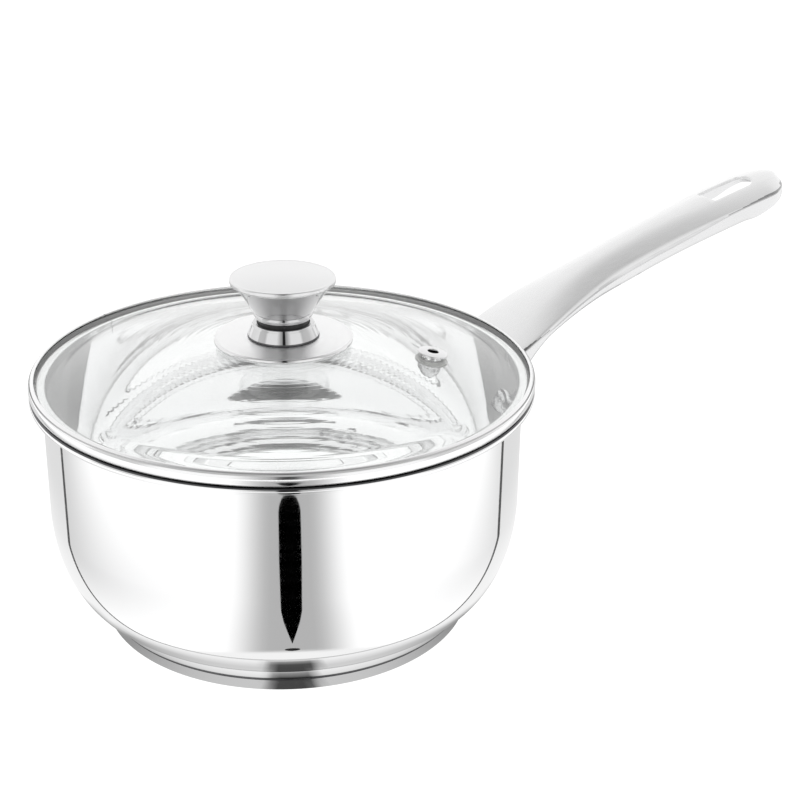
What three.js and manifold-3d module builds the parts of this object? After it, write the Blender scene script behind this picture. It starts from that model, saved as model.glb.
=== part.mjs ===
// A small stainless-steel saucepan with a steel-banded glass lid.
// Millimetres, +Z up. The origin is the centre of the base's underside, and +X runs along the handle.
import * as THREE from 'three';
import { mergeVertices } from 'three/addons/utils/BufferGeometryUtils.js';
import Module from 'manifold-3d';

const wasm = await Module();
wasm.setup();

// ---------------------------------------------------------------- driving dimensions

const RADIAL_SEGMENTS = 40;
const KNOB_SEGMENTS = 28;
const SMALL_SEGMENTS = 16;
const FASTENER_SEGMENTS = 12;

// Pan body
const PAN_INNER_RADIUS = 80.9;
const PAN_SHEET = 0.8;
const RIM_HEIGHT = 84.2;
const RIM_OVERHANG = 4.3;
const RIM_BEAD_RADIUS = 1.25;
const RIM_BEND_RADIUS = 1.0;
const BELLY_INSET = 18;
const BELLY_HEIGHT = 34.5;

// Base
const BASE_INSET = 17;
const CAPSULE_HEIGHT = 4.8;
const CAPSULE_SHEET = 0.6;
const CAPSULE_CORNER = 1.2;
const FOOT_STEP = 1.2;
const FOOT_HEIGHT = 3.6;
const FOOT_CORNER = 1.0;

// Handle
const HANDLE_REACH = 145.6;
const HANDLE_RISE = 47.1;
const HANDLE_ROOT_DROP = 7.7;
const HANDLE_ROOT_LEAD = 40;
const HANDLE_ROOT_SLOPE = 0.62;
const HANDLE_TIP_LEAD = 60;
const HANDLE_TIP_SLOPE = 0.19;
const HANDLE_SHEET = 1.2;
const HANDLE_ROOT_HALF_WIDTH = 17.6;
const HANDLE_WAIST_HALF_WIDTH = 12.8;
const HANDLE_TIP_HALF_WIDTH = 14.0;
const HANDLE_SIDE_DEPTH = 7.4;
const HANDLE_ROOT_EXTRA_DEPTH = 8;
const HANDLE_EDGE_RADIUS = 1.6;
const HANDLE_ROOT_CROWN = 1.2;
const HANDLE_CROWN = 3.4;
const HANDLE_LIP = 3.4;
const HANDLE_LIP_RADIUS = 2.2;
const HANDLE_TIP_ROUND = 13.5;
const HANDLE_TIP_DEPTH = 4.0;
const TIP_CUT_BEFORE = 8;
const TIP_CUT_AFTER = 7;
const SLOT_LENGTH = 22.8;
const SLOT_WIDTH = 10.4;
const SLOT_END_MARGIN = 13.5;
const SLOT_CORNER = 1.2;

// Stretches of the handle, as shares of its length, over which its section changes
const FLARE_SPAN = [0.08, 0.45];
const SWELL_SPAN = [0.5, 0.95];
const DEPTH_SPAN = [0.15, 0.5];
const ROOT_DEPTH_SPAN = [0, 0.17];
const CROWN_SPAN = [0, 0.4];

// Handle mounting plate and rivets
const PLATE_THICKNESS = 1.5;
const PLATE_WIDTH = 60;
const PLATE_HEIGHT = 25;
const PLATE_CORNER = 8;
const TONGUE_WIDTH = 18;
const TONGUE_LENGTH = 26;
const RIVET_SPREAD_DEG = 17.1;
const RIVET_DROP = 20.4;
const RIVET_SHANK_RADIUS = 2.4;
const RIVET_HEAD_RADIUS = 5;
const RIVET_HEAD_HEIGHT = 1.8;
const RIVET_TAIL_RADIUS = 4.2;
const RIVET_TAIL_HEIGHT = 1.5;

// Outlines of a rivet's two ends, as shares of their radius and height
const RIVET_HEAD_SHAPE = [[0, 1], [0.2, 1], [0.32, 0.94], [0.7, 0.8], [1, 0.25], [1, 0]];
const RIVET_TAIL_SHAPE = [[1, 0], [1, 0.4], [0.6, 1], [0, 1]];

// Lid glass and band
const GLASS_THICKNESS = 3.2;
const GLASS_RISE = 10;
const GLASS_FLAT_WIDTH = 8.2;
const BAND_SHEET = 0.5;
const BAND_CORNER = 0.8;
const BAND_TOP_WIDTH = 2.0;
const BAND_SKIRT_DEPTH = 3.5;
const BAND_SEAM_WIDTH = 0.4;
const BAND_SEAM_DEG = 112;

// Steam vent
const VENT_RADIUS_FROM_AXIS = 50.7;
const VENT_AZIMUTH_DEG = -35;
const VENT_BORE_RADIUS = 1.9;
const VENT_BARREL_RADIUS = 3.2;
const VENT_FLANGE_RADIUS = 5.2;
const VENT_FLANGE_HEIGHT = 0.9;
const VENT_WASHER_THICKNESS = 0.8;
const VENT_WASHER_MARGIN = 0.4;
const VENT_ROLL_WIDTH = 1.1;
const VENT_ROLL_HEIGHT = 0.8;

// Knob
const KNOB_CAP_RADIUS = 17.9;
const KNOB_CAP_RISE = 1.4;
const KNOB_CONE_HEIGHT = 13.4;
const KNOB_CONE_FOOT_RADIUS = 9.7;
const KNOB_SHEET = 0.6;
const CONE_BEAD = 0.3;
const CONE_BEAD_HEIGHT = 1.8;
const CAP_ROLL_DEPTH = 0.9;
const COLLAR_HEIGHT = 4.8;
const COLLAR_TOP_RADIUS = 10.4;
const COLLAR_FOOT_RADIUS = 12.2;
const COLLAR_SHOULDER = 1.6;
const COLLAR_TOP_CORNER = 0.4;
const SPACER_INSET = 1.6;
const SPACER_SHOW = 1.5;
const SKIRT_RADIUS = 23.6;
const SKIRT_CROWN = 1.1;
const SKIRT_EDGE_RADIUS = 0.95;
const SKIRT_HUB_MARGIN = 1;
const SKIRT_FALL_WIDTH = 2;
const GASKET_THICKNESS = 1.0;
const GASKET_RADIUS = 12.5;
const SCREW_RADIUS = 2.0;
const SCREW_HEAD_RADIUS = 4.2;
const SCREW_HEAD_HEIGHT = 2.4;
const SCREW_TIP_GAP = 1.0;
const RECESS_LENGTH = 4.4;
const RECESS_WIDTH = 1.0;
const RECESS_DEPTH = 1.4;
const BUSH_WALL = 1.6;
const WASHER_RADIUS = 11.5;
const WASHER_THICKNESS = 1.0;
const LOCK_WASHER_RADIUS = 4.0;
const LOCK_WASHER_SPLIT = 0.6;
const INSERT_RADIUS = 5;
const INSERT_LENGTH = 10.5;
const INSERT_CROWN = 1.5;

// Places up the cone's side above its bead: shares of its flare and of its height
const CONE_SIDE = [[0.22, 0.31], [0.62, 0.66], [1, 1]];

// Clearances
const FACE_GAP = 0.1;
const SIDE_GAP = 0.25;
const TURNED_GAP = 0.3;
const LID_RADIAL_CLEARANCE = 0.4;

// How far a cutting tool runs past what it cuts
const CUT_MARGIN = 5;

// ---------------------------------------------------------------- derived sizes

const panOuterRadius = PAN_INNER_RADIUS + PAN_SHEET;
const rimOuterRadius = panOuterRadius + RIM_OVERHANG;
const baseRadius = panOuterRadius - BASE_INSET;
const footRadius = baseRadius + FOOT_STEP;
const floorUnderside = CAPSULE_HEIGHT + FACE_GAP;
const bellyCentreRadius = panOuterRadius - BELLY_INSET;
const bellyBottom = floorUnderside + FOOT_HEIGHT;
const bellyTop = bellyBottom + BELLY_HEIGHT;

const plateInnerRadius = panOuterRadius + SIDE_GAP;
const plateOuterRadius = plateInnerRadius + PLATE_THICKNESS;
const rivetHeight = RIM_HEIGHT - RIVET_DROP;

const lidSeat = RIM_HEIGHT + FACE_GAP;
const glassEdgeUnderside = lidSeat + BAND_SHEET + SIDE_GAP;
const glassEdgeTop = glassEdgeUnderside + GLASS_THICKNESS;
const bandTop = glassEdgeTop + SIDE_GAP + BAND_SHEET;
const glassRadius = rimOuterRadius - BAND_SHEET - SIDE_GAP;
const domeRadius = glassRadius - GLASS_FLAT_WIDTH;
const glassSphereRadius = (domeRadius ** 2 + GLASS_RISE ** 2) / (2 * GLASS_RISE);
const glassCrownTop = glassEdgeTop + GLASS_RISE;
const glassCrownUnderside = glassCrownTop - GLASS_THICKNESS;

// Height of the vent washer's top, measured square to the glass from its upper face.
const ventWasherTop = -GLASS_THICKNESS - 2 * TURNED_GAP;

// The knob's parts, stacked upwards from the glass.
const screwClearRadius = SCREW_RADIUS + SIDE_GAP;
const bushRadius = screwClearRadius + BUSH_WALL;
const glassHoleRadius = bushRadius + SIDE_GAP;
const upperGasketFoot = glassCrownTop + FACE_GAP;
const skirtUnderside = upperGasketFoot + GASKET_THICKNESS + FACE_GAP;
const skirtTop = skirtUnderside + KNOB_SHEET;
const collarFoot = skirtTop + FACE_GAP;
const collarTop = collarFoot + COLLAR_HEIGHT;
const spacerTop = collarTop + SPACER_SHOW;
const coneFoot = spacerTop + FACE_GAP;
const coneTop = coneFoot + KNOB_CONE_HEIGHT;
const coneTopRadius = KNOB_CAP_RADIUS - KNOB_SHEET - SIDE_GAP;
const spacerRadius = COLLAR_TOP_RADIUS - SPACER_INSET;
const insertFoot = coneFoot + KNOB_SHEET + FACE_GAP;
const insertTop = insertFoot + INSERT_LENGTH;
const insertBoreTop = insertTop - INSERT_CROWN;

// The knob's parts, stacked downwards from the glass.
const lowerGasketTop = glassCrownUnderside - TURNED_GAP;
const washerTop = lowerGasketTop - GASKET_THICKNESS - FACE_GAP;
const lockWasherTop = washerTop - WASHER_THICKNESS - FACE_GAP;
const screwHeadTop = lockWasherTop - WASHER_THICKNESS - FACE_GAP;

// ---------------------------------------------------------------- materials

function metal(color, roughness) {
  return new THREE.MeshStandardMaterial({ color, roughness, metalness: 1 });
}

function plain(color, roughness, opacity = 1) {
  const transparent = opacity < 1;
  return new THREE.MeshStandardMaterial({ color, roughness, metalness: 0, opacity, transparent });
}

const polishedSteel = () => metal(0xd9dadb, 0.06);
const satinSteel = () => metal(0xcfd0d1, 0.25);
const aluminium = () => metal(0xc4c6c9, 0.4);
const blackPlastic = () => plain(0x141414, 0.45);
const silicone = () => plain(0xdcdcd8, 0.6);
const clearGlass = () => plain(0xeef4f3, 0.03, 0.3);

// ---------------------------------------------------------------- shape helpers

// Points on an arc or ellipse in the radius-height plane, from one angle to another in degrees.
function arc(centreR, centreZ, radius, fromDeg, toDeg, steps, radiusZ = radius) {
  const points = [];
  for (let i = 0; i <= steps; i += 1) {
    const angle = THREE.MathUtils.degToRad(THREE.MathUtils.lerp(fromDeg, toDeg, i / steps));
    points.push([centreR + radius * Math.cos(angle), centreZ + radiusZ * Math.sin(angle)]);
  }
  return points;
}

// A profile in the radius-height plane, turned about Z. It runs up the outside and down the inside.
function revolve(profile, segments = RADIAL_SEGMENTS) {
  const startsOnAxis = profile[0][0] === 0;
  const outline = startsOnAxis ? profile : [...profile, profile[0]];
  const points = outline.map(([r, z]) => new THREE.Vector2(r, z));
  return new THREE.LatheGeometry(points, segments).rotateX(Math.PI / 2);
}

// A ring of rectangular section.
function ring(innerRadius, outerRadius, bottom, top, segments = RADIAL_SEGMENTS) {
  const section = [[innerRadius, bottom], [outerRadius, bottom], [outerRadius, top], [innerRadius, top]];
  return revolve(section, segments);
}

function rod(radius, bottom, top, segments = SMALL_SEGMENTS) {
  return new THREE.CylinderGeometry(radius, radius, top - bottom, segments)
    .rotateX(Math.PI / 2)
    .translate(0, 0, (top + bottom) / 2);
}

function box(minX, maxX, minY, maxY, minZ, maxZ) {
  return new THREE.BoxGeometry(maxX - minX, maxY - minY, maxZ - minZ)
    .translate((minX + maxX) / 2, (minY + maxY) / 2, (minZ + maxZ) / 2);
}

// A closed skin through rings of equally many points, with a flat cap at each end.
function loft(rings) {
  const count = rings[0].length;
  const positions = rings.flat().flatMap((point) => [point.x, point.y, point.z]);
  const index = [];
  for (let i = 0; i + 1 < rings.length; i += 1) {
    for (let j = 0; j < count; j += 1) {
      const a = i * count + j;
      const b = i * count + ((j + 1) % count);
      index.push(a, b, a + count, b, b + count, a + count);
    }
  }
  const capOf = (ringPoints) => THREE.ShapeUtils.triangulateShape(
    ringPoints.map((point) => new THREE.Vector2(point.y, point.z)), []);
  const last = (rings.length - 1) * count;
  capOf(rings[0]).forEach(([a, b, c]) => index.push(a, c, b));
  capOf(rings[rings.length - 1]).forEach(([a, b, c]) => index.push(last + a, last + b, last + c));
  const geometry = new THREE.BufferGeometry();
  geometry.setAttribute('position', new THREE.Float32BufferAttribute(positions, 3));
  geometry.setIndex(index);
  return geometry;
}

function solid(geometry) {
  const bare = geometry.clone();
  bare.deleteAttribute('normal');
  bare.deleteAttribute('uv');
  const merged = mergeVertices(bare, 1e-4);
  return new wasm.Manifold(new wasm.Mesh({
    numProp: 3,
    vertProperties: new Float32Array(merged.attributes.position.array),
    triVerts: new Uint32Array(merged.index.array),
  }));
}

function geometryOf(manifold) {
  const mesh = manifold.getMesh();
  const geometry = new THREE.BufferGeometry();
  geometry.setAttribute('position', new THREE.Float32BufferAttribute(mesh.vertProperties, 3));
  geometry.setIndex(new THREE.Uint32BufferAttribute(mesh.triVerts, 1));
  return geometry;
}

function cut(geometry, ...tools) {
  return geometryOf(tools.reduce((body, tool) => body.subtract(solid(tool)), solid(geometry)));
}

function aroundZ(geometry, degrees) {
  return geometry.clone().rotateZ(THREE.MathUtils.degToRad(degrees));
}

// ---------------------------------------------------------------- pan

function panProfile() {
  const footCorner = arc(footRadius - FOOT_CORNER, floorUnderside + FOOT_CORNER, FOOT_CORNER, -90, 0, 2);
  const outerStart = -THREE.MathUtils.radToDeg(Math.acos((footRadius - bellyCentreRadius) / BELLY_INSET));
  const outerBelly = arc(bellyCentreRadius, bellyTop, BELLY_INSET, outerStart, 0, 7, BELLY_HEIGHT);
  const bendRadius = panOuterRadius + RIM_BEND_RADIUS;
  const bendHeight = RIM_HEIGHT - PAN_SHEET - RIM_BEND_RADIUS;
  const underBend = arc(bendRadius, bendHeight, RIM_BEND_RADIUS, 180, 90, 2);
  const beadRadius = rimOuterRadius - RIM_BEAD_RADIUS;
  const bead = arc(beadRadius, RIM_HEIGHT - RIM_BEAD_RADIUS, RIM_BEAD_RADIUS, -190, 90, 6);
  const overBend = arc(bendRadius, bendHeight, RIM_BEND_RADIUS + PAN_SHEET, 90, 180, 3);
  const innerWidth = BELLY_INSET - PAN_SHEET;
  const innerHeight = BELLY_HEIGHT - PAN_SHEET;
  const innerFoot = footRadius - PAN_SHEET;
  const innerEnd = -THREE.MathUtils.radToDeg(Math.acos((innerFoot - bellyCentreRadius) / innerWidth));
  const innerBelly = arc(bellyCentreRadius, bellyTop, innerWidth, 0, innerEnd, 7, innerHeight);
  const floor = floorUnderside + PAN_SHEET;
  const floorCorner = arc(innerFoot - FOOT_CORNER, floor + FOOT_CORNER, FOOT_CORNER, 0, -90, 2);
  return [
    [0, floorUnderside], ...footCorner, ...outerBelly, ...underBend, ...bead,
    ...overBend, ...innerBelly, ...floorCorner, [0, floor],
  ];
}

// A rod along X through the wall, turned to where a rivet goes.
function rivetHole(side) {
  const innerEnd = PAN_INNER_RADIUS - CUT_MARGIN;
  const outerEnd = plateOuterRadius + CUT_MARGIN;
  const hole = rod(RIVET_SHANK_RADIUS + SIDE_GAP, innerEnd, outerEnd, FASTENER_SEGMENTS)
    .rotateY(Math.PI / 2)
    .translate(0, 0, rivetHeight);
  return aroundZ(hole, side * RIVET_SPREAD_DEG);
}

function panBody() {
  return cut(revolve(panProfile()), rivetHole(1), rivetHole(-1));
}

function baseCapsule() {
  const inner = baseRadius - CAPSULE_SHEET;
  const innerCorner = CAPSULE_CORNER - CAPSULE_SHEET;
  return revolve([
    [0, 0],
    ...arc(baseRadius - CAPSULE_CORNER, CAPSULE_CORNER, CAPSULE_CORNER, -90, 0, 3),
    [baseRadius, CAPSULE_HEIGHT],
    [inner, CAPSULE_HEIGHT],
    ...arc(inner - innerCorner, CAPSULE_CORNER, innerCorner, 0, -90, 2),
    [0, CAPSULE_SHEET],
  ]);
}

function baseCore() {
  const radius = baseRadius - CAPSULE_SHEET - SIDE_GAP;
  const bottom = CAPSULE_SHEET + FACE_GAP;
  return revolve([
    [0, bottom], [radius - CAPSULE_CORNER, bottom], [radius, bottom + CAPSULE_CORNER],
    [radius, CAPSULE_HEIGHT], [0, CAPSULE_HEIGHT],
  ]);
}

// ---------------------------------------------------------------- handle

// The line that the handle's two upper edges follow, seen from the side.
const handleRoot = new THREE.Vector2(plateOuterRadius, RIM_HEIGHT - HANDLE_ROOT_DROP);
const handleTip = new THREE.Vector2(handleRoot.x + HANDLE_REACH, handleRoot.y + HANDLE_RISE);
const handleSpine = new THREE.CubicBezierCurve(
  handleRoot,
  new THREE.Vector2(handleRoot.x + HANDLE_ROOT_LEAD, handleRoot.y + HANDLE_ROOT_LEAD * HANDLE_ROOT_SLOPE),
  new THREE.Vector2(handleTip.x - HANDLE_TIP_LEAD, handleTip.y - HANDLE_TIP_LEAD * HANDLE_TIP_SLOPE),
  handleTip,
);
const tipTravel = 1 / (3 * HANDLE_TIP_LEAD);
const tipRoundStart = 1 - HANDLE_TIP_ROUND * tipTravel;

// A smooth rise from 0 to 1 over a stretch of the handle.
function ramp(t, [from, to]) {
  return THREE.MathUtils.smoothstep(t, from, to);
}

// Half the handle's width at a place along it, before the tip is rounded.
function sideWidth(t) {
  const flare = HANDLE_ROOT_HALF_WIDTH - HANDLE_WAIST_HALF_WIDTH;
  const swell = HANDLE_TIP_HALF_WIDTH - HANDLE_WAIST_HALF_WIDTH;
  return HANDLE_WAIST_HALF_WIDTH + flare * (1 - ramp(t, FLARE_SPAN)) + swell * ramp(t, SWELL_SPAN);
}

// How far the handle's sides reach below its upper edges.
function sideDepth(t) {
  const run = HANDLE_SIDE_DEPTH * THREE.MathUtils.lerp(0.5, 1, ramp(t, DEPTH_SPAN));
  return run + HANDLE_ROOT_EXTRA_DEPTH * (1 - ramp(t, ROOT_DEPTH_SPAN));
}

// How far the middle of the handle's top stands above its upper edges.
function crown(t) {
  return THREE.MathUtils.lerp(HANDLE_ROOT_CROWN, HANDLE_CROWN, ramp(t, CROWN_SPAN));
}

// Height of the handle's top, at a distance from its middle, above its upper edges.
function topHeight(t, y, inset) {
  const half = sideWidth(t) - inset - HANDLE_EDGE_RADIUS;
  return crown(t) * (1 - (y / half) ** 2) - inset;
}

// Scale of the width in the rounded tip: 1 before it and 0 at its end.
function tipScale(t, inset) {
  const length = (HANDLE_TIP_ROUND - inset) * tipTravel;
  const u = Math.max(0, (t - tipRoundStart) / length);
  return Math.sqrt(Math.max(0, 1 - u * u));
}

// One section of the handle, as it is or shrunk on all sides by the sheet's thickness.
function handleSection(t, inset) {
  const place = handleSpine.getPoint(t);
  const scale = tipScale(t, inset);
  const width = (sideWidth(t) - inset) * scale;
  const depth = sideDepth(t) - inset;
  const largestCorner = 0.4 * Math.min(width, depth);
  const topCorner = Math.min(HANDLE_EDGE_RADIUS, largestCorner);
  const bottomCorner = Math.min(HANDLE_LIP_RADIUS - 0.8 * inset, largestCorner);
  const rise = crown(t) * Math.sqrt(scale);
  const half = width - topCorner;
  const outline = [];
  const lipY = width - bottomCorner;
  const lipZ = bottomCorner - depth;
  const edgeZ = -inset - topCorner;
  outline.push(...arc(lipY, lipZ, bottomCorner, -90, 0, 2));
  outline.push(...arc(half, edgeZ, topCorner, 0, 90, 2));
  const crownSteps = 6;
  for (let i = 1; i < crownSteps; i += 1) {
    const y = half * (1 - (2 * i) / crownSteps);
    outline.push([y, -inset + rise * (1 - (y / half) ** 2)]);
  }
  outline.push(...arc(-half, edgeZ, topCorner, 90, 180, 2));
  outline.push(...arc(-lipY, lipZ, bottomCorner, 180, 270, 2));
  return outline.map(([y, z]) => new THREE.Vector3(place.x, y, place.y + z));
}

// Places along the handle: evenly to the tip, then closer together round it.
function handleStations(inset) {
  const along = 15;
  const round = 6;
  const stations = [];
  for (let i = 0; i < along; i += 1) {
    stations.push((tipRoundStart * i) / along);
  }
  for (let i = 0; i <= round; i += 1) {
    const u = Math.sin((i / (round + 0.6)) * (Math.PI / 2));
    stations.push(tipRoundStart + u * (HANDLE_TIP_ROUND - inset) * tipTravel);
  }
  return stations;
}

function handleBlock(inset) {
  return loft(handleStations(inset).map((t) => handleSection(t, inset)));
}

// The opening along the underside, between the two turned-in lips.
function handleUndersideOpening() {
  const narrowest = 0.8;
  const overlap = 0.4;
  return loft(handleStations(HANDLE_SHEET).map((t) => {
    const place = handleSpine.getPoint(t);
    const low = place.y - sideDepth(t) - CUT_MARGIN;
    const high = place.y - sideDepth(t) + HANDLE_SHEET + overlap;
    const half = Math.max((sideWidth(t) - HANDLE_LIP) * tipScale(t, HANDLE_SHEET), narrowest);
    return [[half, low], [half, high], [-half, high], [-half, low]]
      .map(([y, z]) => new THREE.Vector3(place.x, y, z));
  }));
}

// The sides are cut back towards the tip, below a line that rises to the tip's own depth.
function tipSideCut() {
  const start = handleSpine.getPoint(tipRoundStart - TIP_CUT_BEFORE * tipTravel);
  const end = handleSpine.getPoint(tipRoundStart + TIP_CUT_AFTER * tipTravel);
  const reach = handleTip.x + CUT_MARGIN;
  const low = start.y - HANDLE_SIDE_DEPTH - CUT_MARGIN;
  const shape = new THREE.Shape([
    new THREE.Vector2(start.x, low),
    new THREE.Vector2(reach, low),
    new THREE.Vector2(reach, handleTip.y - HANDLE_TIP_DEPTH),
    new THREE.Vector2(end.x, end.y - HANDLE_TIP_DEPTH),
    new THREE.Vector2(start.x, start.y - HANDLE_SIDE_DEPTH - 0.01),
  ]);
  const width = 2 * (HANDLE_TIP_HALF_WIDTH + CUT_MARGIN);
  return new THREE.ExtrudeGeometry(shape, { depth: width, bevelEnabled: false })
    .rotateX(Math.PI / 2)
    .translate(0, width / 2, 0);
}

const slotEnd = handleTip.x - SLOT_END_MARGIN;
const slotStart = slotEnd - SLOT_LENGTH;

// The hanging slot: round at the tip's end, square with small corners at the pan's end.
function hangingSlot() {
  const half = SLOT_WIDTH / 2;
  const cornerX = slotStart + SLOT_CORNER;
  const cornerY = half - SLOT_CORNER;
  const shape = new THREE.Shape();
  shape.moveTo(cornerX, -half);
  shape.lineTo(slotEnd - half, -half);
  shape.absarc(slotEnd - half, 0, half, -Math.PI / 2, Math.PI / 2);
  shape.lineTo(cornerX, half);
  shape.absarc(cornerX, cornerY, SLOT_CORNER, Math.PI / 2, Math.PI);
  shape.absarc(cornerX, -cornerY, SLOT_CORNER, Math.PI, 1.5 * Math.PI);
  const depth = handleTip.y + CUT_MARGIN - handleRoot.y;
  return new THREE.ExtrudeGeometry(shape, { depth, bevelEnabled: false, curveSegments: 8 })
    .translate(0, 0, handleRoot.y);
}

function handle() {
  const rootCylinder = rod(plateOuterRadius + TURNED_GAP, 0, handleTip.y, RADIAL_SEGMENTS);
  return cut(
    handleBlock(0), handleBlock(HANDLE_SHEET), handleUndersideOpening(), tipSideCut(),
    hangingSlot(), rootCylinder,
  );
}

// ---------------------------------------------------------------- mounting plate and rivets

// The tongue lies close under the handle's top, where the two are welded.
function plateTongue() {
  const halfWidth = TONGUE_WIDTH / 2;
  const end = handleRoot.x + TONGUE_LENGTH;
  const stations = handleStations(0).filter((t) => handleSpine.getPoint(t).x < end);
  return loft(stations.map((t, i) => {
    const place = handleSpine.getPoint(t);
    const x = i === 0 ? plateInnerRadius + PLATE_THICKNESS / 2 : place.x;
    const drop = (place.x - x) * HANDLE_ROOT_SLOPE;
    const top = place.y + topHeight(t, halfWidth, HANDLE_SHEET) - TURNED_GAP - drop;
    const low = top - PLATE_THICKNESS;
    return [[halfWidth, low], [halfWidth, top], [-halfWidth, top], [-halfWidth, low]]
      .map(([y, z]) => new THREE.Vector3(x, y, z));
  }));
}

function handlePlate() {
  const halfHeight = PLATE_HEIGHT / 2;
  const cornerX = PLATE_WIDTH / 2 - PLATE_CORNER;
  const cornerY = halfHeight - PLATE_CORNER;
  const outline = new THREE.Shape();
  outline.moveTo(-cornerX, -halfHeight);
  outline.lineTo(cornerX, -halfHeight);
  outline.absarc(cornerX, -cornerY, PLATE_CORNER, -Math.PI / 2, 0);
  outline.absarc(cornerX, cornerY, PLATE_CORNER, 0, Math.PI / 2);
  outline.absarc(-cornerX, cornerY, PLATE_CORNER, Math.PI / 2, Math.PI);
  outline.absarc(-cornerX, -cornerY, PLATE_CORNER, Math.PI, 1.5 * Math.PI);
  const depth = plateOuterRadius;
  const blank = new THREE.ExtrudeGeometry(outline, { depth, bevelEnabled: false, curveSegments: 5 })
    .rotateX(Math.PI / 2)
    .rotateZ(Math.PI / 2)
    .translate(0, 0, rivetHeight);
  const sleeveFoot = rivetHeight - halfHeight - CUT_MARGIN;
  const sleeveTop = rivetHeight + halfHeight + CUT_MARGIN;
  const sleeve = ring(plateInnerRadius, plateOuterRadius, sleeveFoot, sleeveTop);
  const curvedPlate = solid(sleeve).intersect(solid(blank));
  const body = curvedPlate.add(solid(plateTongue()));
  return geometryOf(body.subtract(solid(rivetHole(1))).subtract(solid(rivetHole(-1))));
}

// A rivet along Z: its head is inside the pan and its formed tail is outside the plate.
function rivet() {
  const headSeat = -TURNED_GAP - RIVET_HEAD_RADIUS ** 2 / (2 * PAN_INNER_RADIUS);
  const tailSeat = plateOuterRadius - PAN_INNER_RADIUS + TURNED_GAP;
  const head = RIVET_HEAD_SHAPE.map(([r, z]) => [r * RIVET_HEAD_RADIUS, headSeat - z * RIVET_HEAD_HEIGHT]);
  const tail = RIVET_TAIL_SHAPE.map(([r, z]) => [r * RIVET_TAIL_RADIUS, tailSeat + z * RIVET_TAIL_HEIGHT]);
  const shank = [[RIVET_SHANK_RADIUS, headSeat], [RIVET_SHANK_RADIUS, tailSeat]];
  return revolve([...head, ...shank, ...tail], FASTENER_SEGMENTS);
}

// ---------------------------------------------------------------- lid

// Height of the glass's upper face at a distance from the axis.
function domeTop(radius) {
  return glassCrownTop - glassSphereRadius + Math.sqrt(glassSphereRadius ** 2 - radius ** 2);
}

function glassProfile() {
  const steps = 7;
  const blend = 3;
  const top = [];
  for (let i = 0; i <= steps; i += 1) {
    const radius = THREE.MathUtils.lerp(glassHoleRadius, domeRadius - blend, i / steps);
    top.push([radius, domeTop(radius)]);
  }
  const bend = new THREE.QuadraticBezierCurve(
    new THREE.Vector2(domeRadius - blend, domeTop(domeRadius - blend)),
    new THREE.Vector2(domeRadius - 0.4, glassEdgeTop),
    new THREE.Vector2(domeRadius + blend, glassEdgeTop),
  );
  bend.getPoints(3).slice(1).forEach((point) => top.push([point.x, point.y]));
  const underside = top.map(([radius, height]) => [radius, height - GLASS_THICKNESS]);
  const corner = 0.7;
  const lowerEdge = arc(glassRadius - corner, glassEdgeUnderside + corner, corner, -90, 0, 2);
  const upperEdge = arc(glassRadius - corner, glassEdgeTop - corner, corner, 0, 90, 2);
  return [...underside, ...lowerEdge, ...upperEdge, ...top.reverse()];
}

// Moves a shape made about Z to the vent's place, square to the glass.
function atVent(object) {
  const tilt = Math.asin(VENT_RADIUS_FROM_AXIS / glassSphereRadius);
  const seat = new THREE.Group();
  seat.rotation.y = tilt;
  seat.position.set(VENT_RADIUS_FROM_AXIS, 0, domeTop(VENT_RADIUS_FROM_AXIS));
  seat.add(object);
  const turn = new THREE.Group();
  turn.rotation.z = THREE.MathUtils.degToRad(VENT_AZIMUTH_DEG);
  turn.add(seat);
  turn.updateMatrixWorld(true);
  return turn;
}

function lidGlass() {
  const holeRadius = VENT_BARREL_RADIUS + TURNED_GAP;
  const hole = new THREE.Mesh(rod(holeRadius, -GLASS_THICKNESS - CUT_MARGIN, CUT_MARGIN));
  atVent(hole);
  return cut(revolve(glassProfile()), hole.geometry.clone().applyMatrix4(hole.matrixWorld));
}

function lidBand() {
  const outer = rimOuterRadius;
  const inner = outer - BAND_SHEET;
  const skirtOuter = PAN_INNER_RADIUS - LID_RADIAL_CLEARANCE;
  const skirtInner = skirtOuter - BAND_SHEET;
  const bend = BAND_SHEET;
  const innerCorner = BAND_CORNER - BAND_SHEET;
  const profile = [
    [skirtOuter, lidSeat - BAND_SKIRT_DEPTH],
    ...arc(skirtOuter + bend, lidSeat - bend, bend, 180, 90, 2),
    ...arc(outer - BAND_CORNER, lidSeat + BAND_CORNER, BAND_CORNER, -90, 0, 2),
    ...arc(outer - BAND_CORNER, bandTop - BAND_CORNER, BAND_CORNER, 0, 90, 2),
    [outer - BAND_TOP_WIDTH, bandTop],
    [outer - BAND_TOP_WIDTH, bandTop - BAND_SHEET],
    ...arc(inner - innerCorner, bandTop - BAND_CORNER, innerCorner, 90, 0, 1),
    ...arc(inner - innerCorner, lidSeat + BAND_CORNER, innerCorner, 0, -90, 1),
    ...arc(skirtInner + 2 * bend, lidSeat - bend, 2 * bend, 90, 180, 2),
    [skirtInner, lidSeat - BAND_SKIRT_DEPTH],
  ];
  const seam = box(
    skirtInner - CUT_MARGIN, outer + CUT_MARGIN, -BAND_SEAM_WIDTH / 2, BAND_SEAM_WIDTH / 2,
    lidSeat - BAND_SKIRT_DEPTH - CUT_MARGIN, bandTop + CUT_MARGIN,
  );
  return cut(revolve(profile), aroundZ(seam, BAND_SEAM_DEG));
}

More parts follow.
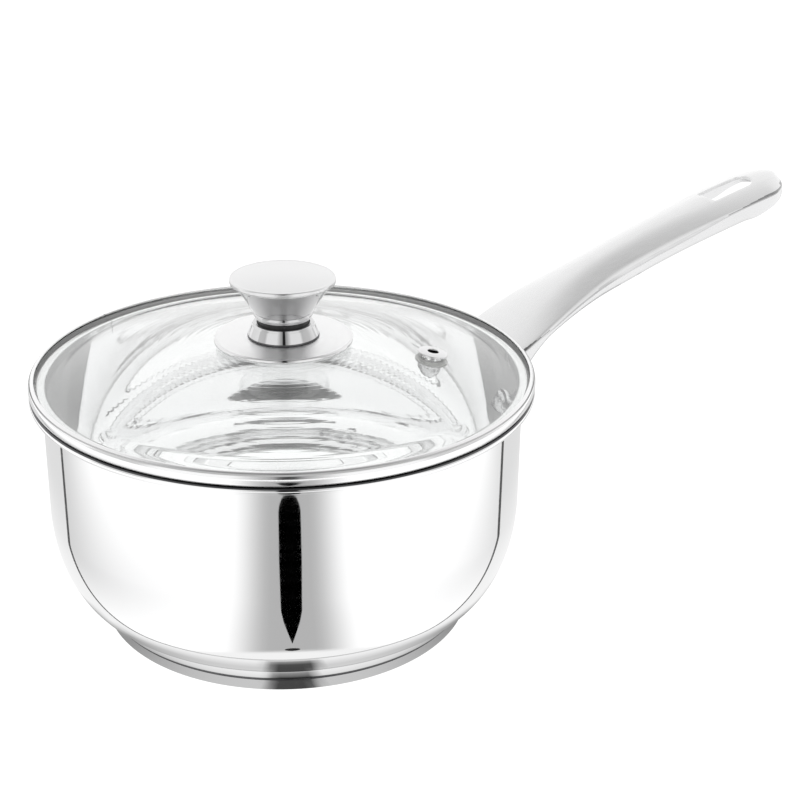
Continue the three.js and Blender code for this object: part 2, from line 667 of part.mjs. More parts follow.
// The grommet that lines the steam hole, with a flange above the glass and a rolled end below it.
function ventEyelet() {
  const flangeSeat = TURNED_GAP;
  const flangeTop = flangeSeat + VENT_FLANGE_HEIGHT;
  const rollTop = ventWasherTop - VENT_WASHER_THICKNESS - FACE_GAP;
  const rollFoot = rollTop - VENT_ROLL_HEIGHT;
  const rollRadius = VENT_BARREL_RADIUS + VENT_ROLL_WIDTH;
  const rollCorner = VENT_ROLL_HEIGHT / 2;
  const flangeCorner = VENT_FLANGE_HEIGHT / 3;
  return revolve([
    [VENT_BORE_RADIUS, rollFoot],
    [rollRadius - rollCorner, rollFoot],
    [rollRadius, rollFoot + rollCorner],
    [rollRadius, rollTop],
    [VENT_BARREL_RADIUS, rollTop],
    [VENT_BARREL_RADIUS, flangeSeat],
    [VENT_FLANGE_RADIUS - flangeCorner, flangeSeat],
    [VENT_FLANGE_RADIUS, flangeSeat + flangeCorner],
    [VENT_FLANGE_RADIUS - flangeCorner, flangeTop - flangeCorner],
    [VENT_BARREL_RADIUS, flangeTop],
    [VENT_BORE_RADIUS + flangeCorner, flangeTop],
    [VENT_BORE_RADIUS, flangeTop - flangeCorner],
  ], SMALL_SEGMENTS);
}

function ventWasher() {
  const bottom = ventWasherTop - VENT_WASHER_THICKNESS;
  const outer = VENT_FLANGE_RADIUS + VENT_WASHER_MARGIN;
  return ring(VENT_BARREL_RADIUS + SIDE_GAP, outer, bottom, ventWasherTop, SMALL_SEGMENTS);
}

// ---------------------------------------------------------------- knob

function knobSkirt() {
  const edgeRadius = SKIRT_RADIUS - SKIRT_EDGE_RADIUS;
  const edgeHeight = skirtTop - SKIRT_CROWN;
  const hubRadius = GASKET_RADIUS + SKIRT_HUB_MARGIN;
  const fallRadius = edgeRadius - SKIRT_FALL_WIDTH;
  const fall = SKIRT_CROWN / 4;
  return revolve([
    [screwClearRadius, skirtUnderside],
    [hubRadius, skirtUnderside],
    [fallRadius, skirtUnderside - fall],
    [edgeRadius - SKIRT_EDGE_RADIUS * 0.9, edgeHeight - 0.1],
    ...arc(edgeRadius, edgeHeight, SKIRT_EDGE_RADIUS, 200, 430, 6),
    [fallRadius, skirtTop - fall],
    [hubRadius, skirtTop],
    [screwClearRadius, skirtTop],
  ], KNOB_SEGMENTS);
}

function knobCollar() {
  const lipRadius = spacerRadius + SIDE_GAP;
  const footBead = 0.3;
  const footHeight = 0.8;
  const shoulder = collarTop - COLLAR_SHOULDER;
  const innerTop = COLLAR_TOP_RADIUS - KNOB_SHEET;
  const cornerRadius = COLLAR_TOP_RADIUS - COLLAR_TOP_CORNER;
  return revolve([
    [COLLAR_FOOT_RADIUS - KNOB_SHEET, collarFoot],
    [COLLAR_FOOT_RADIUS, collarFoot],
    [COLLAR_FOOT_RADIUS - footBead, collarFoot + footHeight],
    [COLLAR_TOP_RADIUS + footBead, shoulder],
    ...arc(cornerRadius, collarTop - COLLAR_TOP_CORNER, COLLAR_TOP_CORNER, 0, 90, 2),
    [lipRadius, collarTop],
    [lipRadius, collarTop - KNOB_SHEET],
    [innerTop, collarTop - KNOB_SHEET],
    [innerTop + footBead, shoulder],
  ], KNOB_SEGMENTS);
}

function knobSpacer() {
  return revolve([
    [screwClearRadius, collarFoot], [spacerRadius, collarFoot],
    [spacerRadius, spacerTop], [screwClearRadius, spacerTop],
  ], KNOB_SEGMENTS);
}

// The cone: a small bead round its foot, then straight sides that flare to the cap.
function knobCone() {
  const bead = KNOB_CONE_FOOT_RADIUS + CONE_BEAD;
  const side = [
    [KNOB_CONE_FOOT_RADIUS, coneFoot + 0.3 * CONE_BEAD_HEIGHT],
    [bead, coneFoot + 0.6 * CONE_BEAD_HEIGHT],
    [bead - 0.6 * CONE_BEAD, coneFoot + CONE_BEAD_HEIGHT],
    ...CONE_SIDE.map(([flare, height]) => [
      THREE.MathUtils.lerp(KNOB_CONE_FOOT_RADIUS, coneTopRadius, flare),
      THREE.MathUtils.lerp(coneFoot, coneTop, height),
    ]),
  ];
  const inside = side.map(([r, z]) => [r - KNOB_SHEET, z]).reverse();
  return revolve([
    [screwClearRadius, coneFoot], [KNOB_CONE_FOOT_RADIUS - KNOB_SHEET, coneFoot],
    ...side,
    ...inside,
    [KNOB_CONE_FOOT_RADIUS - 2 * KNOB_SHEET, coneFoot + KNOB_SHEET],
    [screwClearRadius, coneFoot + KNOB_SHEET],
  ], KNOB_SEGMENTS);
}

// The domed cap closes the cone's top, and its edge is rolled down over the cone's.
function knobCap() {
  const steps = 4;
  const under = coneTop + FACE_GAP;
  const edgeTop = under + KNOB_SHEET;
  const rollFoot = coneTop - CAP_ROLL_DEPTH;
  const dome = (radius) => KNOB_CAP_RISE * (1 - (radius / KNOB_CAP_RADIUS) ** 2);
  const top = [];
  const underside = [];
  for (let i = 0; i <= steps; i += 1) {
    const radius = (KNOB_CAP_RADIUS - 0.5) * (1 - i / steps);
    top.push([radius, edgeTop + dome(radius)]);
    underside.push([radius * 0.93, under + dome(radius)]);
  }
  return revolve([
    ...underside.reverse(),
    [KNOB_CAP_RADIUS - KNOB_SHEET, under],
    [KNOB_CAP_RADIUS - KNOB_SHEET, rollFoot],
    [KNOB_CAP_RADIUS - KNOB_SHEET / 3, rollFoot],
    [KNOB_CAP_RADIUS, rollFoot + CAP_ROLL_DEPTH / 2],
    [KNOB_CAP_RADIUS, edgeTop - 0.2],
    ...top,
  ], KNOB_SEGMENTS);
}

// The threaded boss that the screw pulls on.
function knobInsert() {
  return revolve([
    [screwClearRadius, insertFoot],
    [INSERT_RADIUS, insertFoot],
    [INSERT_RADIUS, insertTop],
    [0, insertTop],
    [0, insertBoreTop],
    [screwClearRadius, insertBoreTop],
  ], FASTENER_SEGMENTS);
}

function knobBush() {
  return ring(screwClearRadius, bushRadius, lowerGasketTop + FACE_GAP, glassCrownTop, SMALL_SEGMENTS);
}

function upperGasket() {
  const top = upperGasketFoot + GASKET_THICKNESS;
  return ring(screwClearRadius, GASKET_RADIUS, upperGasketFoot, top, KNOB_SEGMENTS);
}

function lowerGasket() {
  const bottom = lowerGasketTop - GASKET_THICKNESS;
  return ring(screwClearRadius, WASHER_RADIUS, bottom, lowerGasketTop, KNOB_SEGMENTS);
}

function knobWasher() {
  return ring(screwClearRadius, WASHER_RADIUS, washerTop - WASHER_THICKNESS, washerTop, KNOB_SEGMENTS);
}

// A split spring washer.
function lockWasher() {
  const bottom = lockWasherTop - WASHER_THICKNESS;
  const washer = ring(screwClearRadius, LOCK_WASHER_RADIUS, bottom, lockWasherTop, SMALL_SEGMENTS);
  const half = LOCK_WASHER_SPLIT / 2;
  const reach = LOCK_WASHER_RADIUS + CUT_MARGIN;
  const split = box(0, reach, -half, half, bottom - CUT_MARGIN, lockWasherTop + CUT_MARGIN);
  return cut(washer, split);
}

function knobScrew() {
  const tip = insertBoreTop - SCREW_TIP_GAP;
  const headBottom = screwHeadTop - SCREW_HEAD_HEIGHT;
  const headCorner = SCREW_HEAD_HEIGHT / 3;
  const tipCorner = 0.3 * SCREW_RADIUS;
  const body = revolve([
    [0, headBottom],
    [SCREW_HEAD_RADIUS / 1.5, headBottom],
    [SCREW_HEAD_RADIUS - headCorner / 2, headBottom + headCorner],
    [SCREW_HEAD_RADIUS, screwHeadTop - headCorner],
    [SCREW_HEAD_RADIUS, screwHeadTop],
    [SCREW_RADIUS, screwHeadTop],
    [SCREW_RADIUS, tip - tipCorner],
    [SCREW_RADIUS - tipCorner, tip],
    [0, tip],
  ], FASTENER_SEGMENTS);
  const recess = (length, width) => box(
    -length / 2, length / 2, -width / 2, width / 2, headBottom - CUT_MARGIN, headBottom + RECESS_DEPTH,
  );
  return cut(body, recess(RECESS_LENGTH, RECESS_WIDTH), recess(RECESS_WIDTH, RECESS_LENGTH));
}

// ---------------------------------------------------------------- assembly

function part(name, geometry, material) {
  const mesh = new THREE.Mesh(geometry, material);
  mesh.name = name;
  return mesh;
}

function placedRivet(name, side) {
  const turn = new THREE.Group();
  turn.rotation.z = THREE.MathUtils.degToRad(side * RIVET_SPREAD_DEG);
  const mesh = part(name, rivet(), satinSteel());
  mesh.rotation.y = Math.PI / 2;
  mesh.position.set(PAN_INNER_RADIUS, 0, rivetHeight);
  turn.add(mesh);
  return turn;
}

function panGroup() {
  const group = new THREE.Group();
  group.add(
    part('pan_body', panBody(), polishedSteel()),
    part('base_core', baseCore(), aluminium()),
    part('base_capsule', baseCapsule(), polishedSteel()),
    part('handle', handle(), satinSteel()),
    part('handle_plate', handlePlate(), satinSteel()),
    placedRivet('rivet_left', 1),
    placedRivet('rivet_right', -1),
  );
  return group;
}

function lidGroup() {
  const group = new THREE.Group();
  group.add(
    part('lid_glass', lidGlass(), clearGlass()),
    part('lid_band', lidBand(), polishedSteel()),
    atVent(part('vent_eyelet', ventEyelet(), polishedSteel())),
    atVent(part('vent_washer', ventWasher(), silicone())),
    part('knob_cap', knobCap(), satinSteel()),
    part('knob_cone', knobCone(), polishedSteel()),
    part('knob_insert', knobInsert(), satinSteel()),
    part('knob_spacer', knobSpacer(), blackPlastic()),
    part('knob_collar', knobCollar(), polishedSteel()),
    part('knob_skirt', knobSkirt(), polishedSteel()),
    part('knob_gasket_upper', upperGasket(), silicone()),
    part('knob_bush', knobBush(), silicone()),
    part('knob_gasket_lower', lowerGasket(), silicone()),
    part('knob_washer', knobWasher(), satinSteel()),
    part('knob_lock_washer', lockWasher(), satinSteel()),
    part('knob_screw', knobScrew(), satinSteel()),
  );
  return group;
}

const saucepan = new THREE.Group();
saucepan.add(panGroup(), lidGroup());

export default saucepan;
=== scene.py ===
import math

import bmesh
import bpy
from mathutils import Matrix, Vector


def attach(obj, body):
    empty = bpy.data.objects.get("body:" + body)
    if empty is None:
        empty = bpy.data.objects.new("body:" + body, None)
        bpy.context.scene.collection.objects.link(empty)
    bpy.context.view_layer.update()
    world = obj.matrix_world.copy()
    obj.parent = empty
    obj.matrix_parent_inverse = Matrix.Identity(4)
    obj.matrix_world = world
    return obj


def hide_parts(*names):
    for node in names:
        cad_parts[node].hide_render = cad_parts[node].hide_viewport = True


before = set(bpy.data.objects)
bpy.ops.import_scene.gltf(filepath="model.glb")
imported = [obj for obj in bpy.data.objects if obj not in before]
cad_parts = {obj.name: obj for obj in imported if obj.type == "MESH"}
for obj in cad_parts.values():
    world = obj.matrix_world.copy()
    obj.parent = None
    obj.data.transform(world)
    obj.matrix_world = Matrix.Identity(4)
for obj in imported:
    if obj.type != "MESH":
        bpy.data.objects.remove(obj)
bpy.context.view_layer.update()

MM = 0.001

# ---------------------------------------------------------------- sizes in millimetres

PAN_INNER_RADIUS = 80.9
PAN_SHEET = 0.8
PAN_OUTER_RADIUS = PAN_INNER_RADIUS + PAN_SHEET
RIM_HEIGHT = 84.2
RIM_RADIUS = 86.0
RIM_BEAD = 1.25
RIM_BEND = 1.0
BELLY_INSET = 18
BELLY_HEIGHT = 34.5
BELLY_LIFT = 3.6
FLOOR_UNDERSIDE = 4.9
BASE_RADIUS = 64.7
FOOT_RADIUS = 65.9
FOOT_CORNER = 1.0
BELLY_CENTRE = PAN_OUTER_RADIUS - BELLY_INSET
BELLY_TOP = FLOOR_UNDERSIDE + BELLY_LIFT + BELLY_HEIGHT
PAN_SEGMENTS = 224
# Where painted shade goes: outside this radius in the rim's gap, and this far from the rim's top or the
# collar's foot.
GAP_SHADE_RADIUS = PAN_OUTER_RADIUS + 1.2
PAINTED_SHADE_DEPTH = 0.5

CAPSULE_HEIGHT = 4.8
CAPSULE_SHEET = 0.6
CAPSULE_CORNER = 1.2
CAPSULE_EDGE = 0.5
# How far down the base capsule's top edge the painted shade goes.
CAPSULE_SHADE_DEPTH = 0.75
GROOVE_RADII = (12.0, 24.0, 36.0, 48.0)
GROOVE_HALF_OPEN = 0.6
GROOVE_HALF_FLOOR = 0.25
GROOVE_DEPTH = 0.12

RIVET_SPREAD_DEG = 17.1
RIVET_HEIGHT = 63.8
RIVET_HEAD = 5.0
RIVET_SHANK = 2.4
RIVET_TAIL = 4.2
PLATE_SHEET = 1.5
PLATE_INNER = PAN_OUTER_RADIUS + 0.25
PLATE_OUTER = PLATE_INNER + PLATE_SHEET
PLATE_HALF_WIDTH = 30.0
PLATE_HALF_HEIGHT = 12.5
PLATE_CORNER = 8.0
TONGUE_HALF = 9
TONGUE_REACH = 25.5

HANDLE_SHEET = 1.2
HANDLE_REACH = 145.6
HANDLE_RISE = 47.1
ROOT_SLOPE = 0.62
TIP_SLOPE = 0.19
ROOT = (PLATE_OUTER, RIM_HEIGHT - 7.7)
TIP = (ROOT[0] + HANDLE_REACH, ROOT[1] + HANDLE_RISE)
SPINE = [ROOT, (ROOT[0] + 40, ROOT[1] + 40 * ROOT_SLOPE), (TIP[0] - 60, TIP[1] - 60 * TIP_SLOPE), TIP]
ROOT_HALF = 17.6
WAIST_HALF = 12.8
TIP_HALF = 14.0
SIDE_RUN = 7.4
SIDE_ROOT = 8
SIDE_TIP = 4.0
SIDE_TIP_FROM = 205
SIDE_TIP_RUN = 18
LIP_WIDTH = 3.4
LIP_CORNER = 2.2
LIP_END = (202, 210)
SIDE_FLATNESS = 0.45
TIP_ROUND_START = 1 - 13.5 / 180
SLOT_END = TIP[0] - 13.5
SLOT_START = SLOT_END - 22.8
SLOT_HALF = 5.2
SLOT_CORNER = 1.2
SLOT_COLUMNS = 5
CROWN_COLUMNS = 11
LAST_SLOT_DEG = 80
LAST_SLOT_X = SLOT_END - SLOT_HALF + SLOT_HALF * math.sin(math.radians(LAST_SLOT_DEG))
LAST_SLOT_HALF = SLOT_HALF * math.cos(math.radians(LAST_SLOT_DEG))

LID_SEAT = 84.3
GLASS_THICKNESS = 3.2
GLASS_EDGE_UNDER = 85.05
GLASS_EDGE_TOP = GLASS_EDGE_UNDER + GLASS_THICKNESS
GLASS_RADIUS = 85.25
GLASS_CORNER = 0.7
GLASS_HOLE = 4.1
DOME_RADIUS = 77.05
DOME_BLEND = 3.0
GLASS_RISE = 10
GLASS_SPHERE = (DOME_RADIUS ** 2 + GLASS_RISE ** 2) / (2 * GLASS_RISE)
CROWN_TOP = GLASS_EDGE_TOP + GLASS_RISE
BAND_TOP = 89.0
BAND_SHEET = 0.5
BAND_LEG = 3.5
BAND_SEAM_DEG = 112
BAND_SEAM_WIDTH = 0.4
VENT_FROM_AXIS = 50.7
VENT_AZIMUTH_DEG = -35
VENT_GAP = 0.6
VENT_HOLE = 3.5

BORE = 2.25
SKIRT_UNDER = 99.45
SKIRT_TOP = 100.05
SKIRT_EDGE = 23.6
SKIRT_ROLL = 0.95
SKIRT_HUB = 13.5
COLLAR_FOOT = 100.15
COLLAR_TOP = 104.95
COLLAR_FOOT_RADIUS = 12.2
COLLAR_TOP_RADIUS = 10.4
SPACER_TOP = 106.45
SPACER_RADIUS = 8.8
CONE_FOOT = 106.55
CONE_TOP = 119.95
CONE_FOOT_RADIUS = 9.7
CONE_TOP_RADIUS = 17.05
KNOB_SHEET = 0.6
CAP_RADIUS = 17.9
CAP_FACE = 17.3
CAP_DOME = 1.4
CAP_EDGE_TOP = 120.65
GASKET_FOOT = 98.35
LOWER_GASKET_TOP = 94.75
RING_THICKNESS = 1.0
WASHER_TOP = 93.65
LOCK_TOP = 92.55
LOCK_SWEEP = (6, 354)
SCREW_HEAD_TOP = 91.45
SCREW_HEAD_HEIGHT = 2.4
SCREW_RADIUS = 2.0
THREAD_PITCH = 0.7
THREAD_END = 7.2
SCREW_END = 8.0
CROSS = (2.2, 0.5)
CROSS_DEPTH = 1.4
INSERT_FOOT = 107.25
INSERT_RADIUS = 4.8
INSERT_HEIGHT = 10.5
BORE_DEPTH = 9.0

# The studio has a frame of its own, turned about Z, with the camera in front on the -Y side.
VIEW_AZIMUTH = math.radians(-29.44)
TO_OBJECT = Matrix.Rotation(VIEW_AZIMUTH, 4, "Z")
CAMERA_AT = Vector((-0.45, -509.12, 295.21))
LOOK_AT = Vector((40.93, 12.22, 69.76))
CAMERA_ROLL = math.radians(0.8)
WHITE = 1.1
MAT_WHITE = 1.1
OPEN_WHITE = 1.15
DARK_AZIMUTH = -89
FRONT_ARC = 79.0
OPEN_FLOOR_Z = 0.2
MAT_Z = 0.35
MAT_EDGE_Z = 0.5
DARK_STRIP_Z = 0.6
DARK_SPOT_Z = 0.7

# What the metal reflects: degrees away from the dark slit with the tent's brightness there, then the same
# for the sine of the height.
TENT = [
    (0, 0.02), (4, 0.02), (6, 0.42), (10, 0.46), (24, 1.0), (58, 1.0), (66, 0.62), (92, 0.70), (110, 1.0),
]
TENT_TOP = [(0.0, 0.9), (0.25, 1.0), (0.78, 0.85), (0.97, 0.30)]


# ---------------------------------------------------------------- mesh helpers

def smoothstep(value, low, high):
    x = min(max((value - low) / (high - low), 0), 1)
    return x * x * (3 - 2 * x)


def mix(a, b, share):
    return a + (b - a) * share


def arc(centre_r, centre_z, radius, start, end, steps, radius_z=None):
    radius_z = radius if radius_z is None else radius_z
    angles = [math.radians(start + (end - start) * i / steps) for i in range(steps + 1)]
    return [(centre_r + radius * math.cos(a), centre_z + radius_z * math.sin(a)) for a in angles]


def supported(profile, margin=0.22, longest=6.0):
    """The profile with extra points close to the ends of its long straight runs, and along them."""
    points = [profile[0]]
    for (r0, z0), (r1, z1) in zip(profile, profile[1:]):
        length = math.hypot(r1 - r0, z1 - z0)
        if length > 4 * margin:
            shares = [margin / length]
            inner = int(length / longest)
            shares += [(i + 1) / (inner + 1) for i in range(inner)]
            shares += [1 - margin / length]
            points += [(r0 + (r1 - r0) * s, z0 + (z1 - z0) * s) for s in shares]
        points.append((r1, z1))
    return points


def piece(name, vertices, faces, material, body, replaced, sharp=32, merge=False):
    """A finished piece from points in millimetres and faces, on its body and in its node's place.

    Edges over sharp degrees stay sharp. With merge, points at the same place become one."""
    mesh = bpy.data.meshes.new(name)
    mesh.from_pydata([(x * MM, y * MM, z * MM) for x, y, z in vertices], [], faces)
    if merge:
        bm = bmesh.new()
        bm.from_mesh(mesh)
        bmesh.ops.remove_doubles(bm, verts=bm.verts, dist=1e-7)
        bmesh.ops.dissolve_degenerate(bm, dist=1e-7, edges=bm.edges)
        bm.to_mesh(mesh)
        bm.free()
    mesh.validate()
    mesh.polygons.foreach_set("use_smooth", [True] * len(mesh.polygons))
    mesh.set_sharp_from_angle(angle=math.radians(sharp))
    for each in material if isinstance(material, list) else [material]:
        mesh.materials.append(each)
    obj = bpy.data.objects.new(name, mesh)
    bpy.context.scene.collection.objects.link(obj)
    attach(obj, body)
    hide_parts(replaced)
    return obj


def choose_materials(obj, choose):
    """Sets each polygon's material to choose(polygon, radius, height), both in millimetres."""
    for polygon in obj.data.polygons:
        x, y, z = polygon.center / MM
        polygon.material_index = choose(polygon, math.hypot(x, y), z)


def grid_faces(rows, columns, first=0):
    """Faces of a grid of points stored row by row, from the point numbered first."""
    starts = [first + i * columns + j for i in range(rows - 1) for j in range(columns - 1)]
    return [(a, a + columns, a + columns + 1, a + 1) for a in starts]


def thicken(obj, thickness, edge, segments):
    """Gives a surface its sheet thickness, downwards or inwards, and rounds the sheet's edges."""
    sheet = obj.modifiers.new("sheet", "SOLIDIFY")
    sheet.thickness = thickness * MM
    sheet.offset = -1
    rounded = obj.modifiers.new("edges", "BEVEL")
    rounded.width = edge * MM
    rounded.segments = segments
    rounded.limit_method = "ANGLE"
    rounded.angle_limit = math.radians(50)


def cut(obj, tools):
    """Cuts closed tools, given as points in millimetres and faces, out of an object."""
    cutters = []
    for vertices, faces in tools:
        mesh = bpy.data.meshes.new("cutter")
        mesh.from_pydata([(x * MM, y * MM, z * MM) for x, y, z in vertices], [], faces)
        cutter = bpy.data.objects.new("cutter", mesh)
        bpy.context.scene.collection.objects.link(cutter)
        cutters.append(cutter)
        modifier = obj.modifiers.new("cut", "BOOLEAN")
        modifier.operation = "DIFFERENCE"
        modifier.solver = "EXACT"
        modifier.object = cutter
    bpy.context.view_layer.update()
    mesh = bpy.data.meshes.new_from_object(obj.evaluated_get(bpy.context.evaluated_depsgraph_get()))
    obj.modifiers.clear()
    obj.data = mesh
    for cutter in cutters:
        bpy.data.objects.remove(cutter)
    return mesh


def ring_points(radius, z, start, end, steps, count):
    """Points round the Z axis at one height."""
    angles = [math.radians(start + (end - start) * j / steps) for j in range(count)]
    return [(radius * math.cos(a), radius * math.sin(a), z) for a in angles]


def lathe(profile, segments, sweep=None, place=None):
    """Points and faces of a profile turned about Z.

    The profile goes up the outside and down the inside. It is closed from its last point to its first,
    unless it starts on the axis."""
    on_axis = profile[0][0] == 0
    start, end = sweep or (0, 360)
    count = segments + 1 if sweep else segments
    vertices, rings = [], []
    for r, z in profile:
        if r == 0:
            rings.append([len(vertices)] * count)
            vertices.append((0, 0, z))
        else:
            rings.append(list(range(len(vertices), len(vertices) + count)))
            vertices += ring_points(r, z, start, end, segments, count)
    if not on_axis:
        rings.append(rings[0])
    faces = []
    for a, b in zip(rings, rings[1:]):
        if a[0] == a[-1] and b[0] == b[-1]:
            continue
        for j in range(segments):
            k = (j + 1) % count
            quad = [a[j], a[k], b[k], b[j]]
            faces.append([v for i, v in enumerate(quad) if v != quad[i - 1]])
    if sweep:
        faces.append([ring[0] for ring in rings[:-1]][::-1])
        faces.append([ring[-1] for ring in rings[:-1]])
    if place is not None:
        vertices = [tuple(place @ Vector(v)) for v in vertices]
    return vertices, faces


def turned(name, profile, segments, material, body, replaced, sweep=None, place=None, sharp=32):
    """A piece turned from a profile."""
    vertices, faces = lathe(profile, segments, sweep, place)
    return piece(name, vertices, faces, material, body, replaced, sharp)


# ---------------------------------------------------------------- materials

class Tree:
    """A node tree with short calls that add nodes."""

    def __init__(self, tree):
        self.nodes, self.links = tree.nodes, tree.links

    def join(self, node, socket, value):
        """Gives a socket a value, or links another node's output to it."""
        if isinstance(value, bpy.types.NodeSocket):
            self.links.new(value, node.inputs[socket])
        else:
            node.inputs[socket].default_value = value

    def node(self, kind, operation=None, **sockets):
        """A new node, with its sockets given by name. A _ stands for a space in a name."""
        node = self.nodes.new(kind)
        if operation:
            node.operation = operation
        for name, value in sockets.items():
            self.join(node, name.replace("_", " "), value)
        return node

    def math(self, operation, *values):
        node = self.node("ShaderNodeMath", operation)
        for i, value in enumerate(values):
            self.join(node, i, value)
        return node.outputs[0]

    def ramp(self, source, stops):
        """A colour by places between 0 and 1."""
        node = self.node("ShaderNodeValToRGB", Fac=source)
        elements = node.color_ramp.elements
        while len(elements) < len(stops):
            elements.new(0.5)
        for element, (place, colour) in zip(elements, stops):
            element.position = place
            element.color = (*colour, 1)
        return node.outputs["Color"]


class Surface(Tree):
    """A new material, with the nodes behind its Principled shader."""

    def __init__(self, name):
        self.material = bpy.data.materials.new(name)
        self.material.use_nodes = True
        super().__init__(self.material.node_tree)
        self.shader = next(n for n in self.nodes if n.type == "BSDF_PRINCIPLED")
        self.points = self.node("ShaderNodeTexCoord").outputs["Object"]

    def set(self, socket, value):
        """Sets one of the shader's own sockets."""
        self.join(self.shader, socket, value)

    def radial(self, turn):
        """Coordinates (radius, turn times the angle, height), so that a texture runs round the Z axis."""
        x, y, z = self.node("ShaderNodeSeparateXYZ", Vector=self.points).outputs
        length = self.node("ShaderNodeVectorMath", "LENGTH")
        self.join(length, 0, self.node("ShaderNodeCombineXYZ", X=x, Y=y).outputs[0])
        angle = self.math("MULTIPLY", self.math("ARCTAN2", y, x), turn)
        return self.node("ShaderNodeCombineXYZ", X=length.outputs["Value"], Y=angle, Z=z).outputs[0]

    def stretched(self, scale):
        return self.node("ShaderNodeMapping", Vector=self.points, Scale=scale).outputs[0]

    def noise(self, scale, detail=3.0, at=None):
        at = at or self.points
        texture = self.node("ShaderNodeTexNoise", Scale=scale, Detail=detail, Roughness=0.5, Vector=at)
        return texture.outputs["Fac"]

    def spread(self, source, low, high):
        """The middle of a noise value's range spread over another range."""
        fit = self.node("ShaderNodeMapRange", Value=source, From_Min=0.3, From_Max=0.7)
        self.join(fit, "To Min", low)
        self.join(fit, "To Max", high)
        return fit.outputs["Result"]

    def shaded(self, source, dark, light):
        """A colour between dark and light, by the middle of a noise value's range."""
        return self.ramp(source, [(0.3, dark), (0.7, light)])

    def bump(self, source, distance, before=None):
        """Fine relief on the shader, distance in metres, on top of an earlier relief if there is one."""
        node = self.node("ShaderNodeBump", Strength=1.0, Distance=distance, Height=source)
        if before is not None:
            self.join(node, "Normal", before)
        self.set("Normal", node.outputs["Normal"])
        return node.outputs["Normal"]


def grey(value):
    return (value, value, value)


def steel(name, shade, rough, tint=0.0, lines=0.0, line_scale=900.0, along=None, wave=0.0, spread_of=0.5,
          painted_glow=0.0):
    """Stainless steel.

    lines is the depth in metres of its polishing lines, round Z or stretched along an axis. wave is the depth
    of its broad waves. The glow is painted light, an even emission for light after many reflections."""
    surface = Surface(name)
    surface.set("Metallic", 1.0)
    if painted_glow:
        surface.set("Emission Color", (1.0, 1.0, 1.0, 1.0))
        surface.set("Emission Strength", painted_glow)
    dark = (shade - tint, shade - tint, shade - tint * 0.9)
    light = (shade, shade, shade * 1.004)
    surface.set("Base Color", surface.shaded(surface.noise(38.0, 4.0), dark, light))
    path = surface.stretched(along) if along else surface.radial(0.004)
    grain = surface.noise(line_scale, 2.0, at=path)
    surface.set("Roughness", surface.spread(grain, rough * (1 - spread_of), rough * (1 + spread_of)))
    waves = surface.bump(surface.noise(22.0, 1.0), wave) if wave else None
    surface.bump(grain, lines, waves)
    return surface.material


def soft_plastic(name, dark, light, rough):
    surface = Surface(name)
    surface.set("Base Color", surface.shaded(surface.noise(120.0), dark, light))
    fine = surface.noise(600.0, 2.0)
    surface.set("Roughness", surface.spread(fine, rough * 0.85, rough * 1.15))
    surface.bump(fine, 0.00002)
    return surface.material


def painted_shade_seal(name):
    """The grey seal under the band's lip, with painted shade dark at the back and sides, paler at the front.
    """
    surface = Surface(name)
    front = surface.node("ShaderNodeVectorMath", "DOT_PRODUCT")
    surface.join(front, 0, surface.points)
    surface.join(front, 1, (-0.5, -0.87, 0.0))
    fade = surface.node("ShaderNodeMapRange", Value=front.outputs["Value"], From_Min=0.0, From_Max=0.075)
    surface.set("Base Color", surface.shaded(fade.outputs["Result"], grey(0.12), grey(0.60)))
    fine = surface.noise(600.0, 2.0)
    surface.set("Roughness", surface.spread(fine, 0.35, 0.5))
    surface.bump(fine, 0.000004)
    return surface.material


def clear_glass(name):
    surface = Surface(name)
    surface.set("Transmission Weight", 1.0)
    surface.set("IOR", 1.46)
    tone = surface.noise(9.0, 2.0)
    surface.set("Base Color", surface.shaded(tone, (0.965, 0.975, 0.97), (0.985, 0.99, 0.985)))
    surface.set("Roughness", surface.spread(surface.noise(60.0), 0.0, 0.012))
    return surface.material


ALONG_HANDLE = (0.03, 1.0, 1.0)
OUTSIDE_STEEL = steel("polished_outside", 0.93, 0.035, tint=0.012, lines=0.0000004, line_scale=500)
# Painted light: a faint glow inside the pan and on its floor.
INSIDE_STEEL = steel(
    "polished_inside", 0.93, 0.03, tint=0.02, lines=0.0000012, line_scale=420, wave=0.00012, painted_glow=0.06)
FLOOR_STEEL = steel(
    "polished_floor", 0.93, 0.025, tint=0.02, lines=0.0000012, line_scale=420, wave=0.0001, painted_glow=0.02)
BASE_STEEL = steel("base_side", 0.86, 0.10, tint=0.03, lines=0.000002, line_scale=700)
BRUSHED_BASE = steel("base_underside", 0.72, 0.28, tint=0.05, lines=0.00001, line_scale=900)
BAND_STEEL = steel("band", 0.90, 0.13, tint=0.015, lines=0.000001, line_scale=600)
# Painted light: the handle's glow lifts its darker reflections towards an even pale grey.
HANDLE_STEEL = steel(
    "handle_satin", 0.52, 0.26, tint=0.02, lines=0.0000006, line_scale=700, along=ALONG_HANDLE, spread_of=0.2,
    painted_glow=0.33)
# Painted shade: a darker copy of the handle's steel, without its glow, for the steep sides.
SHADED_HANDLE_SIDE = steel(
    "handle_side_painted_shade", 0.74, 0.16, tint=0.04, lines=0.0000006, line_scale=700, along=ALONG_HANDLE)
# Painted shade: a dark line along the crease between the handle's top and side.
CREASE_SHADE_STEEL = steel("handle_crease_painted_shade", 0.42, 0.22, tint=0.05, lines=0.0000006, line_scale=700)
PLAIN_STEEL = steel("plain_steel", 0.72, 0.22, tint=0.05, lines=0.000003, line_scale=600)
KNOB_STEEL = steel("knob_polished", 0.80, 0.05, tint=0.03, lines=0.0000016, line_scale=1200)
SKIRT_STEEL = steel(
    "skirt_polished", 0.93, 0.36, tint=0.01, lines=0.0000003, line_scale=1200, spread_of=0.2)
